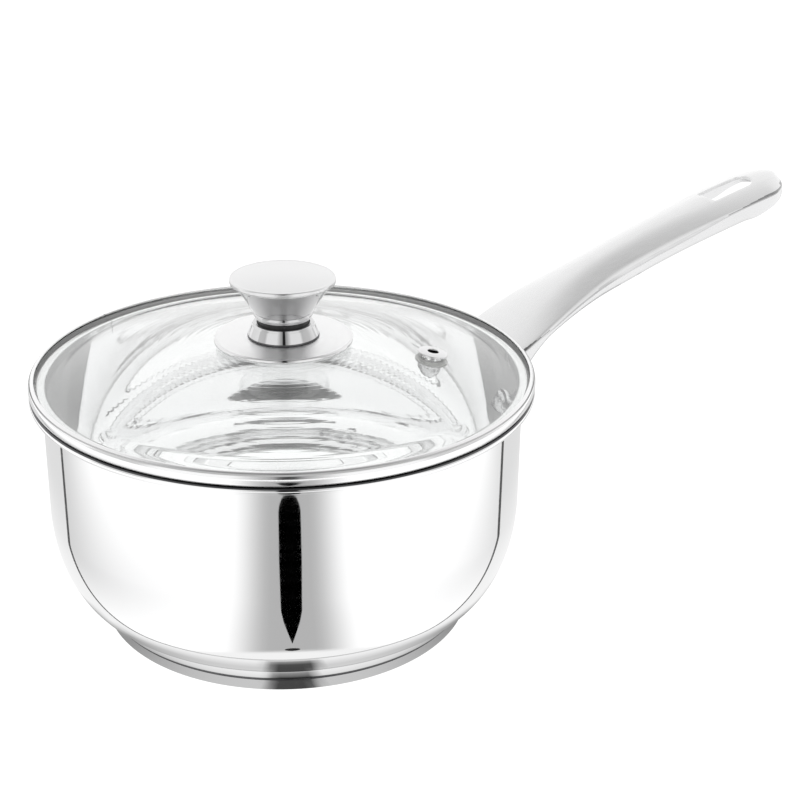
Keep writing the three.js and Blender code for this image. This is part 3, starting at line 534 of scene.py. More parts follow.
# Painted shade: a darker copy of the knob's polished steel for the cone and the collar.
SHADED_KNOB_STEEL = steel("knob_polished_painted_shade", 0.68, 0.045, tint=0.03, lines=0.0000008, line_scale=1200)
CAP_STEEL = steel("cap_satin", 0.80, 0.22, tint=0.01, lines=0.0000002, line_scale=1500, spread_of=0.15)
CORE_METAL = steel("core_aluminium", 0.70, 0.38, tint=0.06, lines=0.00001, line_scale=500)
# Painted shade: a dark steel laid into gaps, grooves and feet where shade falls.
CREVICE_SHADE_STEEL = steel("painted_crevice_shade", 0.16, 0.30, tint=0.08, lines=0.000003, line_scale=500)
GLASS = clear_glass("lid_clear_glass")
SILICONE = soft_plastic("white_silicone", (0.70, 0.70, 0.68), (0.80, 0.80, 0.78), 0.5)
SHADED_SEAL = painted_shade_seal("grey_seal_painted_shade")
BLACK = soft_plastic("black_moulding", grey(0.010), grey(0.018), 0.4)


# ---------------------------------------------------------------- pan

def pan_profile():
    """The pan's outline in three parts: its outside and rim, its wall inside, and its floor inside."""
    outer_start = -math.degrees(math.acos((FOOT_RADIUS - BELLY_CENTRE) / BELLY_INSET))
    foot = arc(FOOT_RADIUS - FOOT_CORNER, FLOOR_UNDERSIDE + FOOT_CORNER, FOOT_CORNER, -90, 0, 8)
    belly = arc(BELLY_CENTRE, BELLY_TOP, BELLY_INSET, outer_start, 0, 56, BELLY_HEIGHT)
    bend_r = PAN_OUTER_RADIUS + RIM_BEND
    bend_z = RIM_HEIGHT - PAN_SHEET - RIM_BEND
    under = arc(bend_r, bend_z, RIM_BEND, 180, 90, 8)
    bead = arc(RIM_RADIUS - RIM_BEAD, RIM_HEIGHT - RIM_BEAD, RIM_BEAD, -190, 90, 26)
    over = arc(bend_r, bend_z, RIM_BEND + PAN_SHEET, 90, 180, 10)
    inner_w = BELLY_INSET - PAN_SHEET
    inner_h = BELLY_HEIGHT - PAN_SHEET
    inner_foot = FOOT_RADIUS - PAN_SHEET
    inner_end = -math.degrees(math.acos((inner_foot - BELLY_CENTRE) / inner_w))
    inner_belly = arc(BELLY_CENTRE, BELLY_TOP, inner_w, 0, inner_end, 48, inner_h)
    floor = FLOOR_UNDERSIDE + PAN_SHEET
    corner = arc(inner_foot - FOOT_CORNER, floor + FOOT_CORNER, FOOT_CORNER, 0, -90, 8)
    outside = supported([(0, FLOOR_UNDERSIDE), *foot, *belly, *under, *bead, over[0]])
    wall = supported([*over, *inner_belly])
    base = supported([*corner, (0, floor)], longest=8)
    return outside, wall, base


def build_pan():
    outside, wall, base = pan_profile()
    obj = turned("pan_shell", outside[:-1] + wall + base, PAN_SEGMENTS,
                 [OUTSIDE_STEEL, INSIDE_STEEL, FLOOR_STEEL, CREVICE_SHADE_STEEL], "pan", "pan_body",
                 sharp=40)
    first_wall = (len(outside) - 1) * PAN_SEGMENTS
    first_base = first_wall + len(wall) * PAN_SEGMENTS

    def which(polygon, r, z):
        if polygon.index >= first_base:
            return 2
        if polygon.index >= first_wall:
            return 1
        # Painted shade under the floor where it sits on the base, and on the bead's top under the band.
        under_foot = z < FLOOR_UNDERSIDE + PAN_SHEET and r < FOOT_RADIUS
        on_bead = z > RIM_HEIGHT - PAINTED_SHADE_DEPTH and r > GAP_SHADE_RADIUS
        return 3 if under_foot or on_bead else 0

    choose_materials(obj, which)


def build_base():
    inner = BASE_RADIUS - CAPSULE_SHEET
    inner_corner = CAPSULE_CORNER - CAPSULE_SHEET
    grooves = []
    for centre in GROOVE_RADII:
        grooves += [
            (centre - GROOVE_HALF_OPEN, 0), (centre - GROOVE_HALF_FLOOR, GROOVE_DEPTH),
            (centre + GROOVE_HALF_FLOOR, GROOVE_DEPTH), (centre + GROOVE_HALF_OPEN, 0),
        ]
    profile = supported([
        (0, 0), *grooves,
        *arc(BASE_RADIUS - CAPSULE_CORNER, CAPSULE_CORNER, CAPSULE_CORNER, -90, 0, 10),
        *arc(BASE_RADIUS - CAPSULE_EDGE, CAPSULE_HEIGHT - CAPSULE_EDGE, CAPSULE_EDGE, 0, 90, 6),
        (inner, CAPSULE_HEIGHT),
        *arc(inner - inner_corner, CAPSULE_CORNER, inner_corner, 0, -90, 6),
        (0, CAPSULE_SHEET),
    ])
    obj = turned("base_cup", profile, 192, [BASE_STEEL, BRUSHED_BASE, CREVICE_SHADE_STEEL], "pan", "base_capsule")

    def which(polygon, r, z):
        # Painted shade on the capsule's top edge, in the groove under the pan's foot.
        if z > CAPSULE_HEIGHT - CAPSULE_SHADE_DEPTH:
            return 2
        return 1 if polygon.normal.z < -0.8 and z < 0.4 else 0

    choose_materials(obj, which)


def rivet_place(side):
    turn = Matrix.Rotation(math.radians(side * RIVET_SPREAD_DEG), 4, "Z")
    along = Matrix.Rotation(math.pi / 2, 4, "Y")
    return turn @ Matrix.Translation((PAN_INNER_RADIUS, 0, RIVET_HEIGHT)) @ along


def build_rivet(name, side):
    """A rivet: a low domed head inside the pan, with a small centre dimple, and a formed tail outside."""
    seat = -0.3 - RIVET_HEAD ** 2 / (2 * PAN_INNER_RADIUS)
    tail = PLATE_OUTER - PAN_INNER_RADIUS + 0.3
    turns = [math.radians(a) for a in (*range(16, 81, 8), 86)]
    dome = [(RIVET_HEAD * math.sin(a), seat - 0.45 - 1.35 * math.cos(a)) for a in turns]
    profile = [
        (0, seat - 1.35), (0.5, seat - 1.38), (0.85, seat - 1.55), (1.05, seat - 1.74),
        *dome, (RIVET_HEAD, seat - 0.4), (RIVET_HEAD, seat), (RIVET_SHANK, seat),
        (RIVET_SHANK, tail), (RIVET_TAIL, tail),
        *arc(RIVET_TAIL - 0.8, tail + 0.7, 0.8, 0, 80, 5), (RIVET_SHANK, tail + 1.5), (0, tail + 1.5),
    ]
    turned(name, profile, 48, PLAIN_STEEL, "pan", name.replace("_piece", ""),
           place=rivet_place(side), sharp=45)


# ---------------------------------------------------------------- handle

def spine_at(t):
    s = 1 - t
    weights = (s ** 3, 3 * s * s * t, 3 * s * t * t, t ** 3)
    return tuple(sum(w * p[i] for w, p in zip(weights, SPINE)) for i in (0, 1))


def spine_t(x):
    """The share of the handle's length at x, by halving."""
    low, high = -0.1, 1.0
    for _ in range(40):
        middle = (low + high) / 2
        if spine_at(middle)[0] < x:
            low = middle
        else:
            high = middle
    return (low + high) / 2


def side_width(t):
    """Half the handle's width at the share t of its length."""
    flare = (ROOT_HALF - WAIST_HALF) * (1 - smoothstep(t, 0.08, 0.45))
    swell = (TIP_HALF - WAIST_HALF) * smoothstep(t, 0.5, 0.95)
    return WAIST_HALF + flare + swell


def side_depth(t):
    run = SIDE_RUN * (0.5 + 0.5 * smoothstep(t, 0.15, 0.5))
    full = run + SIDE_ROOT * (1 - smoothstep(t, 0, 0.17))
    rise = max(0, min(1, (spine_at(t)[0] - SIDE_TIP_FROM) / SIDE_TIP_RUN)) ** 1.6
    return mix(full, SIDE_TIP, rise)


def crown(t):
    """How far the top's middle rises over its edges."""
    return mix(1.2, 3.4, smoothstep(t, 0, 0.4))


def edge_radius(t):
    """The radius of the edge between the top and the side."""
    return 1.6 + 3.0 * smoothstep(t, 0.1, 0.35) * (1 - smoothstep(t, 0.6, 0.85))


def tip_scale(t):
    """How much the rounded tip narrows the handle."""
    u = max(0, (t - TIP_ROUND_START) / (1 - TIP_ROUND_START))
    return math.sqrt(max(0, 1 - u * u))


def slot_half_at(x):
    """Half the hanging slot's width at x, or None away from the slot."""
    if x < SLOT_START - 1e-6 or x > SLOT_END:
        return None
    ahead = x - SLOT_START
    if ahead < SLOT_CORNER:
        return SLOT_HALF - SLOT_CORNER + math.sqrt(max(0, SLOT_CORNER ** 2 - (SLOT_CORNER - ahead) ** 2))
    past = x - (SLOT_END - SLOT_HALF)
    return SLOT_HALF if past <= 0 else math.sqrt(max(0, SLOT_HALF ** 2 - past ** 2))


def half_section(t):
    """Half of the handle's outer section, from its middle to the end of the turned-in lip."""
    x, base = spine_at(t)
    scale = tip_scale(t)
    width = side_width(t) * scale
    depth = side_depth(t)
    corner = min(edge_radius(t), width * 0.4, depth * 0.62)
    rise = crown(t) * math.sqrt(scale)
    slope = math.atan2(2 * rise, max(width - corner * 0.4, 1e-6))
    join = width - corner + corner * math.sin(slope)
    lift = corner * math.cos(slope)
    lip_share = 1 - smoothstep(x, *LIP_END)
    low_corner = min(LIP_CORNER * lip_share, width * 0.4, depth * 0.35)
    natural = join * SLOT_COLUMNS / CROWN_COLUMNS
    slot = slot_half_at(x)
    if slot is None and x < SLOT_START:
        slot = mix(natural, SLOT_HALF - SLOT_CORNER, smoothstep(x, SLOT_START - 6, SLOT_START))
    elif slot is None:
        slot = mix(LAST_SLOT_HALF, natural, smoothstep(x, LAST_SLOT_X, LAST_SLOT_X + 7))
    slot = min(slot, join * 0.9)
    points = []
    for c in range(CROWN_COLUMNS + 1):
        if c <= SLOT_COLUMNS:
            y = slot * c / SLOT_COLUMNS
        else:
            y = slot + (join - slot) * (c - SLOT_COLUMNS) / (CROWN_COLUMNS - SLOT_COLUMNS)
        share = y / join if join > 1e-9 else 1
        points.append((y, rise * (1 - share * share)))
    steps = 8
    for i in range(1, steps + 1):
        angle = math.pi / 2 - slope - (math.pi / 2 - slope) * i / steps
        points.append((width - corner + corner * math.cos(angle), -lift + corner * math.sin(angle)))
    bottom = -depth + low_corner
    for i in range(1, 7):
        points.append((width, mix(-lift, bottom, i / 6)))
    for i in range(1, 6):
        angle = math.radians(-90 * i / 5)
        y = width - low_corner + low_corner * math.cos(angle)
        points.append((y, bottom + low_corner * math.sin(angle)))
    lip = (LIP_WIDTH - LIP_CORNER) * lip_share * scale
    for i in range(1, 3):
        points.append((width - low_corner - lip * i / 2, -depth))
    return [(y, base + z) for y, z in points]


def handle_places():
    """Places along the handle, closer together at the slot's corners and round its end."""
    run = [mix(ROOT[0], SLOT_START, i / 56) for i in range(56)]
    corner = [SLOT_START + SLOT_CORNER * (1 - math.cos(math.radians(a))) for a in range(0, 91, 18)]
    centre = SLOT_END - SLOT_HALF
    middle = [mix(corner[-1], centre, i / 8) for i in range(1, 9)]
    bow = [centre + SLOT_HALF * math.sin(math.radians(a)) for a in range(8, LAST_SLOT_DEG + 1, 8)]
    places = [(spine_t(x), x) for x in run + corner + middle + bow]
    turns = [math.radians(a) for a in (*range(4, 71, 6), 75, 80, 84, 87, 90)]
    after = [mix(TIP_ROUND_START, 1, math.sin(a)) for a in turns]
    return places + [(t, spine_at(t)[0]) for t in after]


def crease(t):
    """How strongly the painted dark line between the handle's top and its side shows: only near its two ends.
    """
    return max(1 - smoothstep(t, 0.06, 0.2), smoothstep(t, 0.78, 0.92))


def handle_row(t, x):
    """One row of points across the handle. Near the root the rows bend round to the plate's curve."""
    half = half_section(t)
    fade = 1 - smoothstep(x, ROOT[0], ROOT[0] + 22)
    root_cut = PLATE_OUTER + 0.3
    bent = []
    for k, (y, z) in enumerate(half):
        if fade > 0:
            back = ROOT[0] - math.sqrt(root_cut ** 2 - min(y, ROOT_HALF) ** 2)
            moved = x - back * fade
            bent.append((moved, *half_section(spine_t(moved))[k]))
        else:
            bent.append((x, y, z))
    return [(px, -y, z) for px, y, z in bent[:0:-1]] + bent


def build_handle():
    places = handle_places()
    rows = [handle_row(t, x) for t, x in places]
    count = len(rows[0])
    slot_columns = range(count // 2 - SLOT_COLUMNS, count // 2 + SLOT_COLUMNS)
    faces = []
    for face in grid_faces(len(rows), count):
        i, j = divmod(face[0], count)
        in_slot = places[i][1] >= SLOT_START - 1e-6 and places[i + 1][1] <= LAST_SLOT_X + 1e-6
        if not (in_slot and j in slot_columns):
            faces.append(face)
    vertices = [point for row in rows for point in row]
    obj = piece("handle_shell", vertices, faces, [HANDLE_STEEL, SHADED_HANDLE_SIDE, CREASE_SHADE_STEEL], "pan", "handle",
                sharp=60, merge=True)
    for polygon in obj.data.polygons:
        x, y, z = polygon.center / MM
        t = spine_t(x)
        flat = abs(polygon.normal.z)
        at_edge = abs(y) > side_width(t) * tip_scale(t) - edge_radius(t)
        # Painted shade: steep sides take the darker side steel; near both ends the top's edge takes the dark
        # crease steel.
        if flat < SIDE_FLATNESS:
            polygon.material_index = 1
        elif at_edge and flat < SIDE_FLATNESS + 0.41 * crease(t) and z > spine_at(t)[1] - 3:
            polygon.material_index = 2
    thicken(obj, HANDLE_SHEET, 0.28, 3)


def build_plate():
    """The curved plate that the rivets hold, with the tongue under the handle's top."""
    across, up = 56, 20
    vertices = []
    for i in range(across + 1):
        y = -PLATE_HALF_WIDTH * math.cos(math.pi * i / across)
        beyond = max(0, abs(y) - (PLATE_HALF_WIDTH - PLATE_CORNER))
        high = PLATE_HALF_HEIGHT - PLATE_CORNER + math.sqrt(max(0, PLATE_CORNER ** 2 - beyond ** 2))
        x = math.sqrt(PLATE_OUTER ** 2 - y * y)
        vertices += [(x, y, RIVET_HEIGHT - high + 2 * high * j / up) for j in range(up + 1)]
    faces = grid_faces(across + 1, up + 1)
    tongue_start = len(vertices)
    steps, lanes = 16, 8
    for i in range(steps + 1):
        x = mix(PLATE_INNER + 1.2, ROOT[0] + TONGUE_REACH, i / steps)
        t = max(0.0, spine_t(max(x, ROOT[0])))
        drop = max(0, ROOT[0] - x) * ROOT_SLOPE
        half = side_width(t) - 1.6
        under_top = spine_at(t)[1] + crown(t) * (1 - (TONGUE_HALF / half) ** 2) - HANDLE_SHEET - 0.5 - drop
        vertices += [(x, mix(-TONGUE_HALF, TONGUE_HALF, j / lanes), under_top) for j in range(lanes + 1)]
    faces += grid_faces(steps + 1, lanes + 1, tongue_start)
    obj = piece("handle_bracket", vertices, faces, PLAIN_STEEL, "pan", "handle_plate",
                sharp=50)
    thicken(obj, PLATE_SHEET, 0.3, 2)


# ---------------------------------------------------------------- lid

def dome_top(radius):
    return CROWN_TOP - GLASS_SPHERE + math.sqrt(GLASS_SPHERE ** 2 - radius ** 2)


def glass_profile():
    blend_from = DOME_RADIUS - DOME_BLEND
    top = [mix(GLASS_HOLE, blend_from, i / 30) for i in range(31)]
    top = [(r, dome_top(r)) for r in top]
    knee = (DOME_RADIUS - 0.4, GLASS_EDGE_TOP)
    curve = (top[-1], knee, (DOME_RADIUS + DOME_BLEND, GLASS_EDGE_TOP))
    for i in range(1, 13):
        s = i / 12
        weights = ((1 - s) ** 2, 2 * s * (1 - s), s * s)
        top.append(tuple(sum(w * p[k] for w, p in zip(weights, curve)) for k in (0, 1)))
    under = [(r, z - GLASS_THICKNESS) for r, z in top]
    corner = GLASS_RADIUS - GLASS_CORNER
    edge = arc(corner, GLASS_EDGE_UNDER + GLASS_CORNER, GLASS_CORNER, -90, 0, 6)
    edge += arc(corner, GLASS_EDGE_TOP - GLASS_CORNER, GLASS_CORNER, 0, 90, 6)
    return supported([*under, *edge, *top[::-1]])


def vent_place():
    tilt = math.asin(VENT_FROM_AXIS / GLASS_SPHERE)
    seat = Matrix.Translation((VENT_FROM_AXIS, 0, dome_top(VENT_FROM_AXIS))) @ Matrix.Rotation(tilt, 4, "Y")
    return Matrix.Rotation(math.radians(VENT_AZIMUTH_DEG), 4, "Z") @ seat


def build_glass():
    obj = turned("glass_dome", glass_profile(), 192, GLASS, "lid", "lid_glass")
    drill = lathe([(0, -12), (VENT_HOLE, -12), (VENT_HOLE, 6), (0, 6)], 64, place=vent_place())
    drilled = cut(obj, [drill])
    drilled.polygons.foreach_set("use_smooth", [True] * len(drilled.polygons))
    drilled.set_sharp_from_angle(angle=math.radians(32))


def build_band():
    outer = RIM_RADIUS
    inner = outer - BAND_SHEET
    skirt_outer = PAN_INNER_RADIUS - 0.4
    skirt_inner = skirt_outer - BAND_SHEET
    skirt_foot = LID_SEAT - BAND_LEG
    bend = BAND_SHEET
    lip = outer - 2.0
    leg = LID_SEAT + BAND_SHEET
    profile = [
        (skirt_outer, skirt_foot),
        *arc(skirt_outer + bend, LID_SEAT - bend, bend, 180, 90, 6),
        *arc(outer - 1.5, LID_SEAT + 2.2, 1.5, -90, 0, 14, 2.2),
        *arc(outer - 1.9, BAND_TOP - 2.4, 1.9, 0, 88, 20, 2.4),
        *arc(lip + 0.15, BAND_TOP - 0.17, 0.15, 90, 180, 3),
        (lip, BAND_TOP - BAND_SHEET),
        *arc(inner - 1.5, BAND_TOP - 2.2, 1.5, 88, 0, 8, 1.7),
        *arc(inner - 1.0, LID_SEAT + 2.2, 1.0, 0, -90, 6, 1.7),
        (inner - 2.4, leg), (inner - 2.9, leg + 0.12), (inner - 3.4, leg),
        *arc(skirt_inner + 2 * bend, LID_SEAT - bend, 2 * bend, 90, 180, 8),
        (skirt_inner, skirt_foot),
    ]
    half_gap = math.degrees(BAND_SEAM_WIDTH / 2 / outer)
    sweep = (BAND_SEAM_DEG + half_gap, BAND_SEAM_DEG + 360 - half_gap)
    obj = turned("rim_band", supported(profile), 224, [BAND_STEEL, CREVICE_SHADE_STEEL, SHADED_SEAL], "lid", "lid_band",
                 sweep=sweep)

    def which(polygon, r, z):
        # Painted shade on the band's underside over the bead, and the grey seal with its painted shade inside
        # the lip.
        if z < LID_SEAT + 0.45 and r > GAP_SHADE_RADIUS:
            return 1
        return 2 if inner - 2.3 < r < inner + 0.05 and LID_SEAT + 0.4 < z < BAND_TOP - 0.45 else 0

    choose_materials(obj, which)


def build_vent():
    washer_top = -GLASS_THICKNESS - VENT_GAP
    washer_foot = washer_top - 0.8
    roll = washer_foot - 0.1
    profile = [
        (1.9, roll - 0.8),
        *arc(3.9, roll - 0.4, 0.4, -90, 90, 6),
        (3.2, roll), (3.2, 0.3), (4.9, 0.3),
        *arc(4.9, 0.6, 0.3, -80, 80, 8),
        (4.5, 1.0), (3.8, 1.12), (3.0, 1.18), (2.4, 1.2),
        *arc(2.15, 0.95, 0.25, 90, 180, 5),
    ]
    turned("vent_grommet", supported(profile), 64, KNOB_STEEL, "lid", "vent_eyelet",
           place=vent_place())
    ring = [
        (3.45, washer_foot), *arc(5.4, washer_foot + 0.2, 0.2, -90, 0, 3),
        *arc(5.4, washer_top - 0.2, 0.2, 0, 90, 3), (3.45, washer_top),
    ]
    turned("vent_seal", ring, 64, SILICONE, "lid", "vent_washer", place=vent_place())


# ---------------------------------------------------------------- knob

def cap_dome(r):
    return CAP_DOME * (1 - (r / CAP_RADIUS) ** 2)


def build_cap():
    top = [(r, CAP_EDGE_TOP + cap_dome(r)) for r in [CAP_FACE * (1 - i / 24) for i in range(25)]]
    under = [(r * 0.93, CONE_TOP + 0.1 + cap_dome(r)) for r in [CAP_FACE * i / 12 for i in range(13)]]
    lip = CAP_RADIUS - 0.6
    profile = [
        *under, (lip, CONE_TOP + 0.1), (lip, CONE_TOP - 0.9),
        *arc(CAP_RADIUS - 0.3, CONE_TOP - 0.65, 0.28, -90, 0, 4),
        (CAP_RADIUS, CONE_TOP - 0.3), (CAP_RADIUS, CAP_EDGE_TOP - 0.3),
        *arc(CAP_RADIUS - 0.55, CAP_EDGE_TOP - 0.36, 0.55, 5, 75, 6), *top,
    ]
    turned("knob_top", profile, 160, CAP_STEEL, "lid", "knob_cap", sharp=50)


def build_cone():
    foot = CONE_FOOT_RADIUS
    side = [(foot + 0.3 * math.sin(math.pi * i / 8), CONE_FOOT + 0.5 + 1.5 * i / 8) for i in range(9)]
    rise = [(2.6, 0.06), (4.2, 0.20), (6.0, 0.36), (8.8, 0.62), (11.0, 0.81), (13.4, 1.0)]
    side += [(mix(foot, CONE_TOP_RADIUS, share), CONE_FOOT + height) for height, share in rise]
    inside = [(r - KNOB_SHEET, z) for r, z in side][::-1]
    profile = [
        (BORE, CONE_FOOT), *arc(foot - 0.5, CONE_FOOT + 0.45, 0.45, -90, -10, 5), *side, *inside,
        (foot - 2 * KNOB_SHEET, CONE_FOOT + KNOB_SHEET), (BORE, CONE_FOOT + KNOB_SHEET),
    ]
    turned("knob_body", supported(profile), 160, SHADED_KNOB_STEEL, "lid", "knob_cone", sharp=40)


def build_collar():
    lip = SPACER_RADIUS + 0.25
    foot, top = COLLAR_FOOT_RADIUS, COLLAR_TOP_RADIUS
    side = [(mix(foot, top + 0.2, i / 12), COLLAR_FOOT + 0.3 + 3.9 * i / 12) for i in range(13)]
    under_top = COLLAR_TOP - KNOB_SHEET
    profile = [
        (foot - KNOB_SHEET, COLLAR_FOOT), *arc(foot - 0.15, COLLAR_FOOT + 0.15, 0.15, -90, 0, 3), *side,
        *arc(top - 0.4, COLLAR_TOP - 0.4, 0.4, 0, 90, 6),
        (lip, COLLAR_TOP), (lip, under_top), (top - KNOB_SHEET, under_top),
        (top - 0.5, COLLAR_TOP - 1.6), (foot - 0.7, COLLAR_FOOT + 0.3),
    ]
    obj = turned("knob_base_ring", supported(profile), 128, [SHADED_KNOB_STEEL, CREVICE_SHADE_STEEL], "lid", "knob_collar",
                 sharp=40)
    # Painted shade: a dark ring at the collar's foot.
    choose_materials(obj, lambda polygon, r, z: 1 if z < COLLAR_FOOT + PAINTED_SHADE_DEPTH else 0)


def build_skirt():
    edge = SKIRT_EDGE - SKIRT_ROLL
    edge_z = SKIRT_TOP - 1.1
    hub = SKIRT_HUB
    crown_radii = [mix(edge - 0.2, hub, i / 10) for i in range(1, 11)]
    crown_line = [(r, SKIRT_TOP - 0.22 * ((r - hub) / (edge - hub)) ** 2) for r in crown_radii]
    profile = [
        (BORE, SKIRT_UNDER), (hub, SKIRT_UNDER), (edge - 2, SKIRT_UNDER - 0.3),
        (edge - 0.85, edge_z - 0.1), *arc(edge, edge_z, SKIRT_ROLL, 200, 435, 28), *crown_line,
        (BORE, SKIRT_TOP),
    ]
    obj = turned("knob_plate", supported(profile), 160, [SKIRT_STEEL, KNOB_STEEL], "lid", "knob_skirt",
                 sharp=40)
    choose_materials(obj, lambda polygon, r, z: 1 if r > edge + 0.2 else 0)


def ring_profile(inner, outer, bottom, top, corner=0.15):
    return [
        *arc(inner + corner, bottom + corner, corner, 180, 270, 3),
        *arc(outer - corner, bottom + corner, corner, -90, 0, 3),
        *arc(outer - corner, top - corner, corner, 0, 90, 3),
        *arc(inner + corner, top - corner, corner, 90, 180, 3),
    ]


def build_fittings():
    """The flat rings of the knob's stack, then the screw and the boss that it goes into."""
    seal_top = GASKET_FOOT + RING_THICKNESS
    lower_foot = LOWER_GASKET_TOP - RING_THICKNESS
    rings = [
        ("knob_spacer_ring", SPACER_RADIUS, COLLAR_FOOT, SPACER_TOP, 96, BLACK, "knob_spacer",
         "black_plastic"),
        ("upper_seal", 12.5, GASKET_FOOT, seal_top, 96, SILICONE, "knob_gasket_upper", "silicone"),
        ("lower_seal", 11.5, lower_foot, LOWER_GASKET_TOP, 96, SILICONE, "knob_gasket_lower", "silicone"),
        ("sleeve", 3.85, LOWER_GASKET_TOP + 0.1, GASKET_FOOT - 0.1, 48, SILICONE, "knob_bush", "silicone"),
        ("plain_washer", 11.5, WASHER_TOP - RING_THICKNESS, WASHER_TOP, 96, PLAIN_STEEL, "knob_washer",
         "satin_steel"),
    ]
    for name, outer, bottom, top, segments, material, node, slot in rings:
        profile = supported(ring_profile(BORE, outer, bottom, top))
        turned(name, profile, segments, material, "lid", node, sharp=50)
    turned("spring_washer", ring_profile(BORE, 4.0, LOCK_TOP - RING_THICKNESS, LOCK_TOP), 64, PLAIN_STEEL,
           "lid", "knob_lock_washer", sweep=LOCK_SWEEP, sharp=50)
    low = SCREW_HEAD_TOP - SCREW_HEAD_HEIGHT
    head = [
        (0, low), (2.6, low), *arc(2.6, low + 1.6, 1.6, -90, 0, 8), (4.2, SCREW_HEAD_TOP),
        (SCREW_RADIUS, SCREW_HEAD_TOP),
    ]
    threads = []
    z = SCREW_HEAD_TOP + 3
    while z < INSERT_FOOT + THREAD_END:
        threads += [(SCREW_RADIUS, z), (SCREW_RADIUS - 0.25, z + THREAD_PITCH / 2)]
        z += THREAD_PITCH
    tip = INSERT_FOOT + SCREW_END
    screw = turned("lid_screw", [*head, *threads, (1.4, tip), (0, tip)], 48, PLAIN_STEEL, "lid", "knob_screw",
                   sharp=50)
    cut_cross(screw, low)
    insert = [
        (BORE, INSERT_FOOT), *arc(INSERT_RADIUS, INSERT_FOOT + 0.2, 0.2, -90, 0, 3),
        *arc(INSERT_RADIUS, INSERT_FOOT + INSERT_HEIGHT - 0.2, 0.2, 0, 90, 3),
        (0, INSERT_FOOT + INSERT_HEIGHT), (0, INSERT_FOOT + BORE_DEPTH), (BORE, INSERT_FOOT + BORE_DEPTH),
    ]
    turned("threaded_boss", insert, 48, PLAIN_STEEL, "lid", "knob_insert", sharp=50)


def box(half_x, half_y, low, high):
    """Points and faces of a box about the Z axis."""
    signs = ((-1, -1), (1, -1), (1, 1), (-1, 1))
    vertices = [(sx * half_x, sy * half_y, z) for z in (low, high) for sx, sy in signs]
    sides = [(i, (i + 1) % 4, (i + 1) % 4 + 4, i + 4) for i in range(4)]
    return vertices, [(3, 2, 1, 0), (4, 5, 6, 7), *sides]


def cut_cross(screw, low):
    """Cuts the cross recess in the screw's head."""
    bits = [box(long_x, long_y, low - 1, low + CROSS_DEPTH) for long_x, long_y in (CROSS, CROSS[::-1])]
    cut(screw, bits).set_sharp_from_angle(angle=math.radians(40))


# ---------------------------------------------------------------- studio

def build_camera():
    forward = (LOOK_AT - CAMERA_AT).normalized()
    right = forward.cross(Vector((0, 0, 1))).normalized()
    up = right.cross(forward)
    tilted = right * math.cos(CAMERA_ROLL) + up * math.sin(CAMERA_ROLL)
    raised = up * math.cos(CAMERA_ROLL) - right * math.sin(CAMERA_ROLL)
    turn = Matrix((tilted, raised, -forward)).transposed().to_4x4()
    data = bpy.data.cameras.new("camera")
    data.lens = 72
    data.sensor_width = 36
    data.clip_start = 0.01
    data.clip_end = 20
    camera = bpy.data.objects.new("camera", data)
    bpy.context.scene.collection.objects.link(camera)
    camera.matrix_world = TO_OBJECT @ Matrix.Translation(CAMERA_AT * MM) @ turn
    bpy.context.scene.camera = camera


def stage_mesh(name, vertices, faces, material, reflected_only=False):
    mesh = bpy.data.meshes.new(name)
    mesh.from_pydata([tuple(TO_OBJECT @ (Vector(v) * MM)) for v in vertices], [], faces)
    mesh.materials.append(material)
    obj = bpy.data.objects.new(name, mesh)
    bpy.context.scene.collection.objects.link(obj)
    if reflected_only:
        obj.visible_camera = False
        obj.visible_diffuse = False
        obj.visible_shadow = False
        obj.visible_transmission = False
        obj.visible_volume_scatter = False
    return obj


def floor_material():
    surface = Surface("pale_floor")
    surface.set("Roughness", 1.0)
    surface.set("Specular IOR Level", 0.0)
    surface.set("Base Color", (0.35, 0.35, 0.35, 1))
    surface.set("Emission Color", (1, 1, 1, 1))
    surface.set("Emission Strength", 0.92)
    return surface.material


def card_material(name, shade, painted=False):
    """An even light. A painted card takes its strength from its own points."""
    material = bpy.data.materials.new(name)
    material.use_nodes = True
    tree = Tree(material.node_tree)
    tree.nodes.clear()
    light = tree.node("ShaderNodeEmission", Color=(*grey(shade), 1))
    if painted:
        attribute = tree.node("ShaderNodeAttribute")
        attribute.attribute_name = "shade"
        tree.join(light, "Strength", attribute.outputs["Fac"])
    tree.node("ShaderNodeOutputMaterial", Surface=light.outputs[0])
    return material


def painted_card(name, vertices, faces, shades):
    """A card seen only in reflections, with a brightness of its own at each point."""
    card = stage_mesh(name, vertices, faces, card_material(name, 1.0, True), True)
    card.data.attributes.new("shade", "FLOAT", "POINT").data.foreach_set("value", shades)


def floor_shade(x, y):
    """Brightness of the painted reflection of the floor in front of the pan, as its polished side sees it."""
    azimuth = math.degrees(math.atan2(y, x))
    radius = math.hypot(x, y)
    away = abs(azimuth - DARK_AZIMUTH)
    lens = FRONT_ARC + 8.0 * max(0, 1 - (x / 42) ** 2)
    centre = 0.42 + 0.58 * smoothstep(away, 6, 23)
    reach, loss = (140, 0.40) if x < 0 else (100, 0.30)
    dim = (1 - smoothstep(front_line(x) - y, -10, reach)) * smoothstep(abs(x), 50, 140)
    open_floor = centre * (1 - loss * dim)
    return mix(0.84, open_floor, smoothstep(radius, lens - 1.5, lens + 1.5))


def front_line(x):
    """Where the white mat in front of the pan ends: round the base, then straight back on each side."""
    if x < -53:
        return -58.6 + (-53 - x) * 0.88
    if x > 56:
        return -55.7 + (x - 56) * 0.79
    return -math.sqrt(FRONT_ARC ** 2 - x * x)


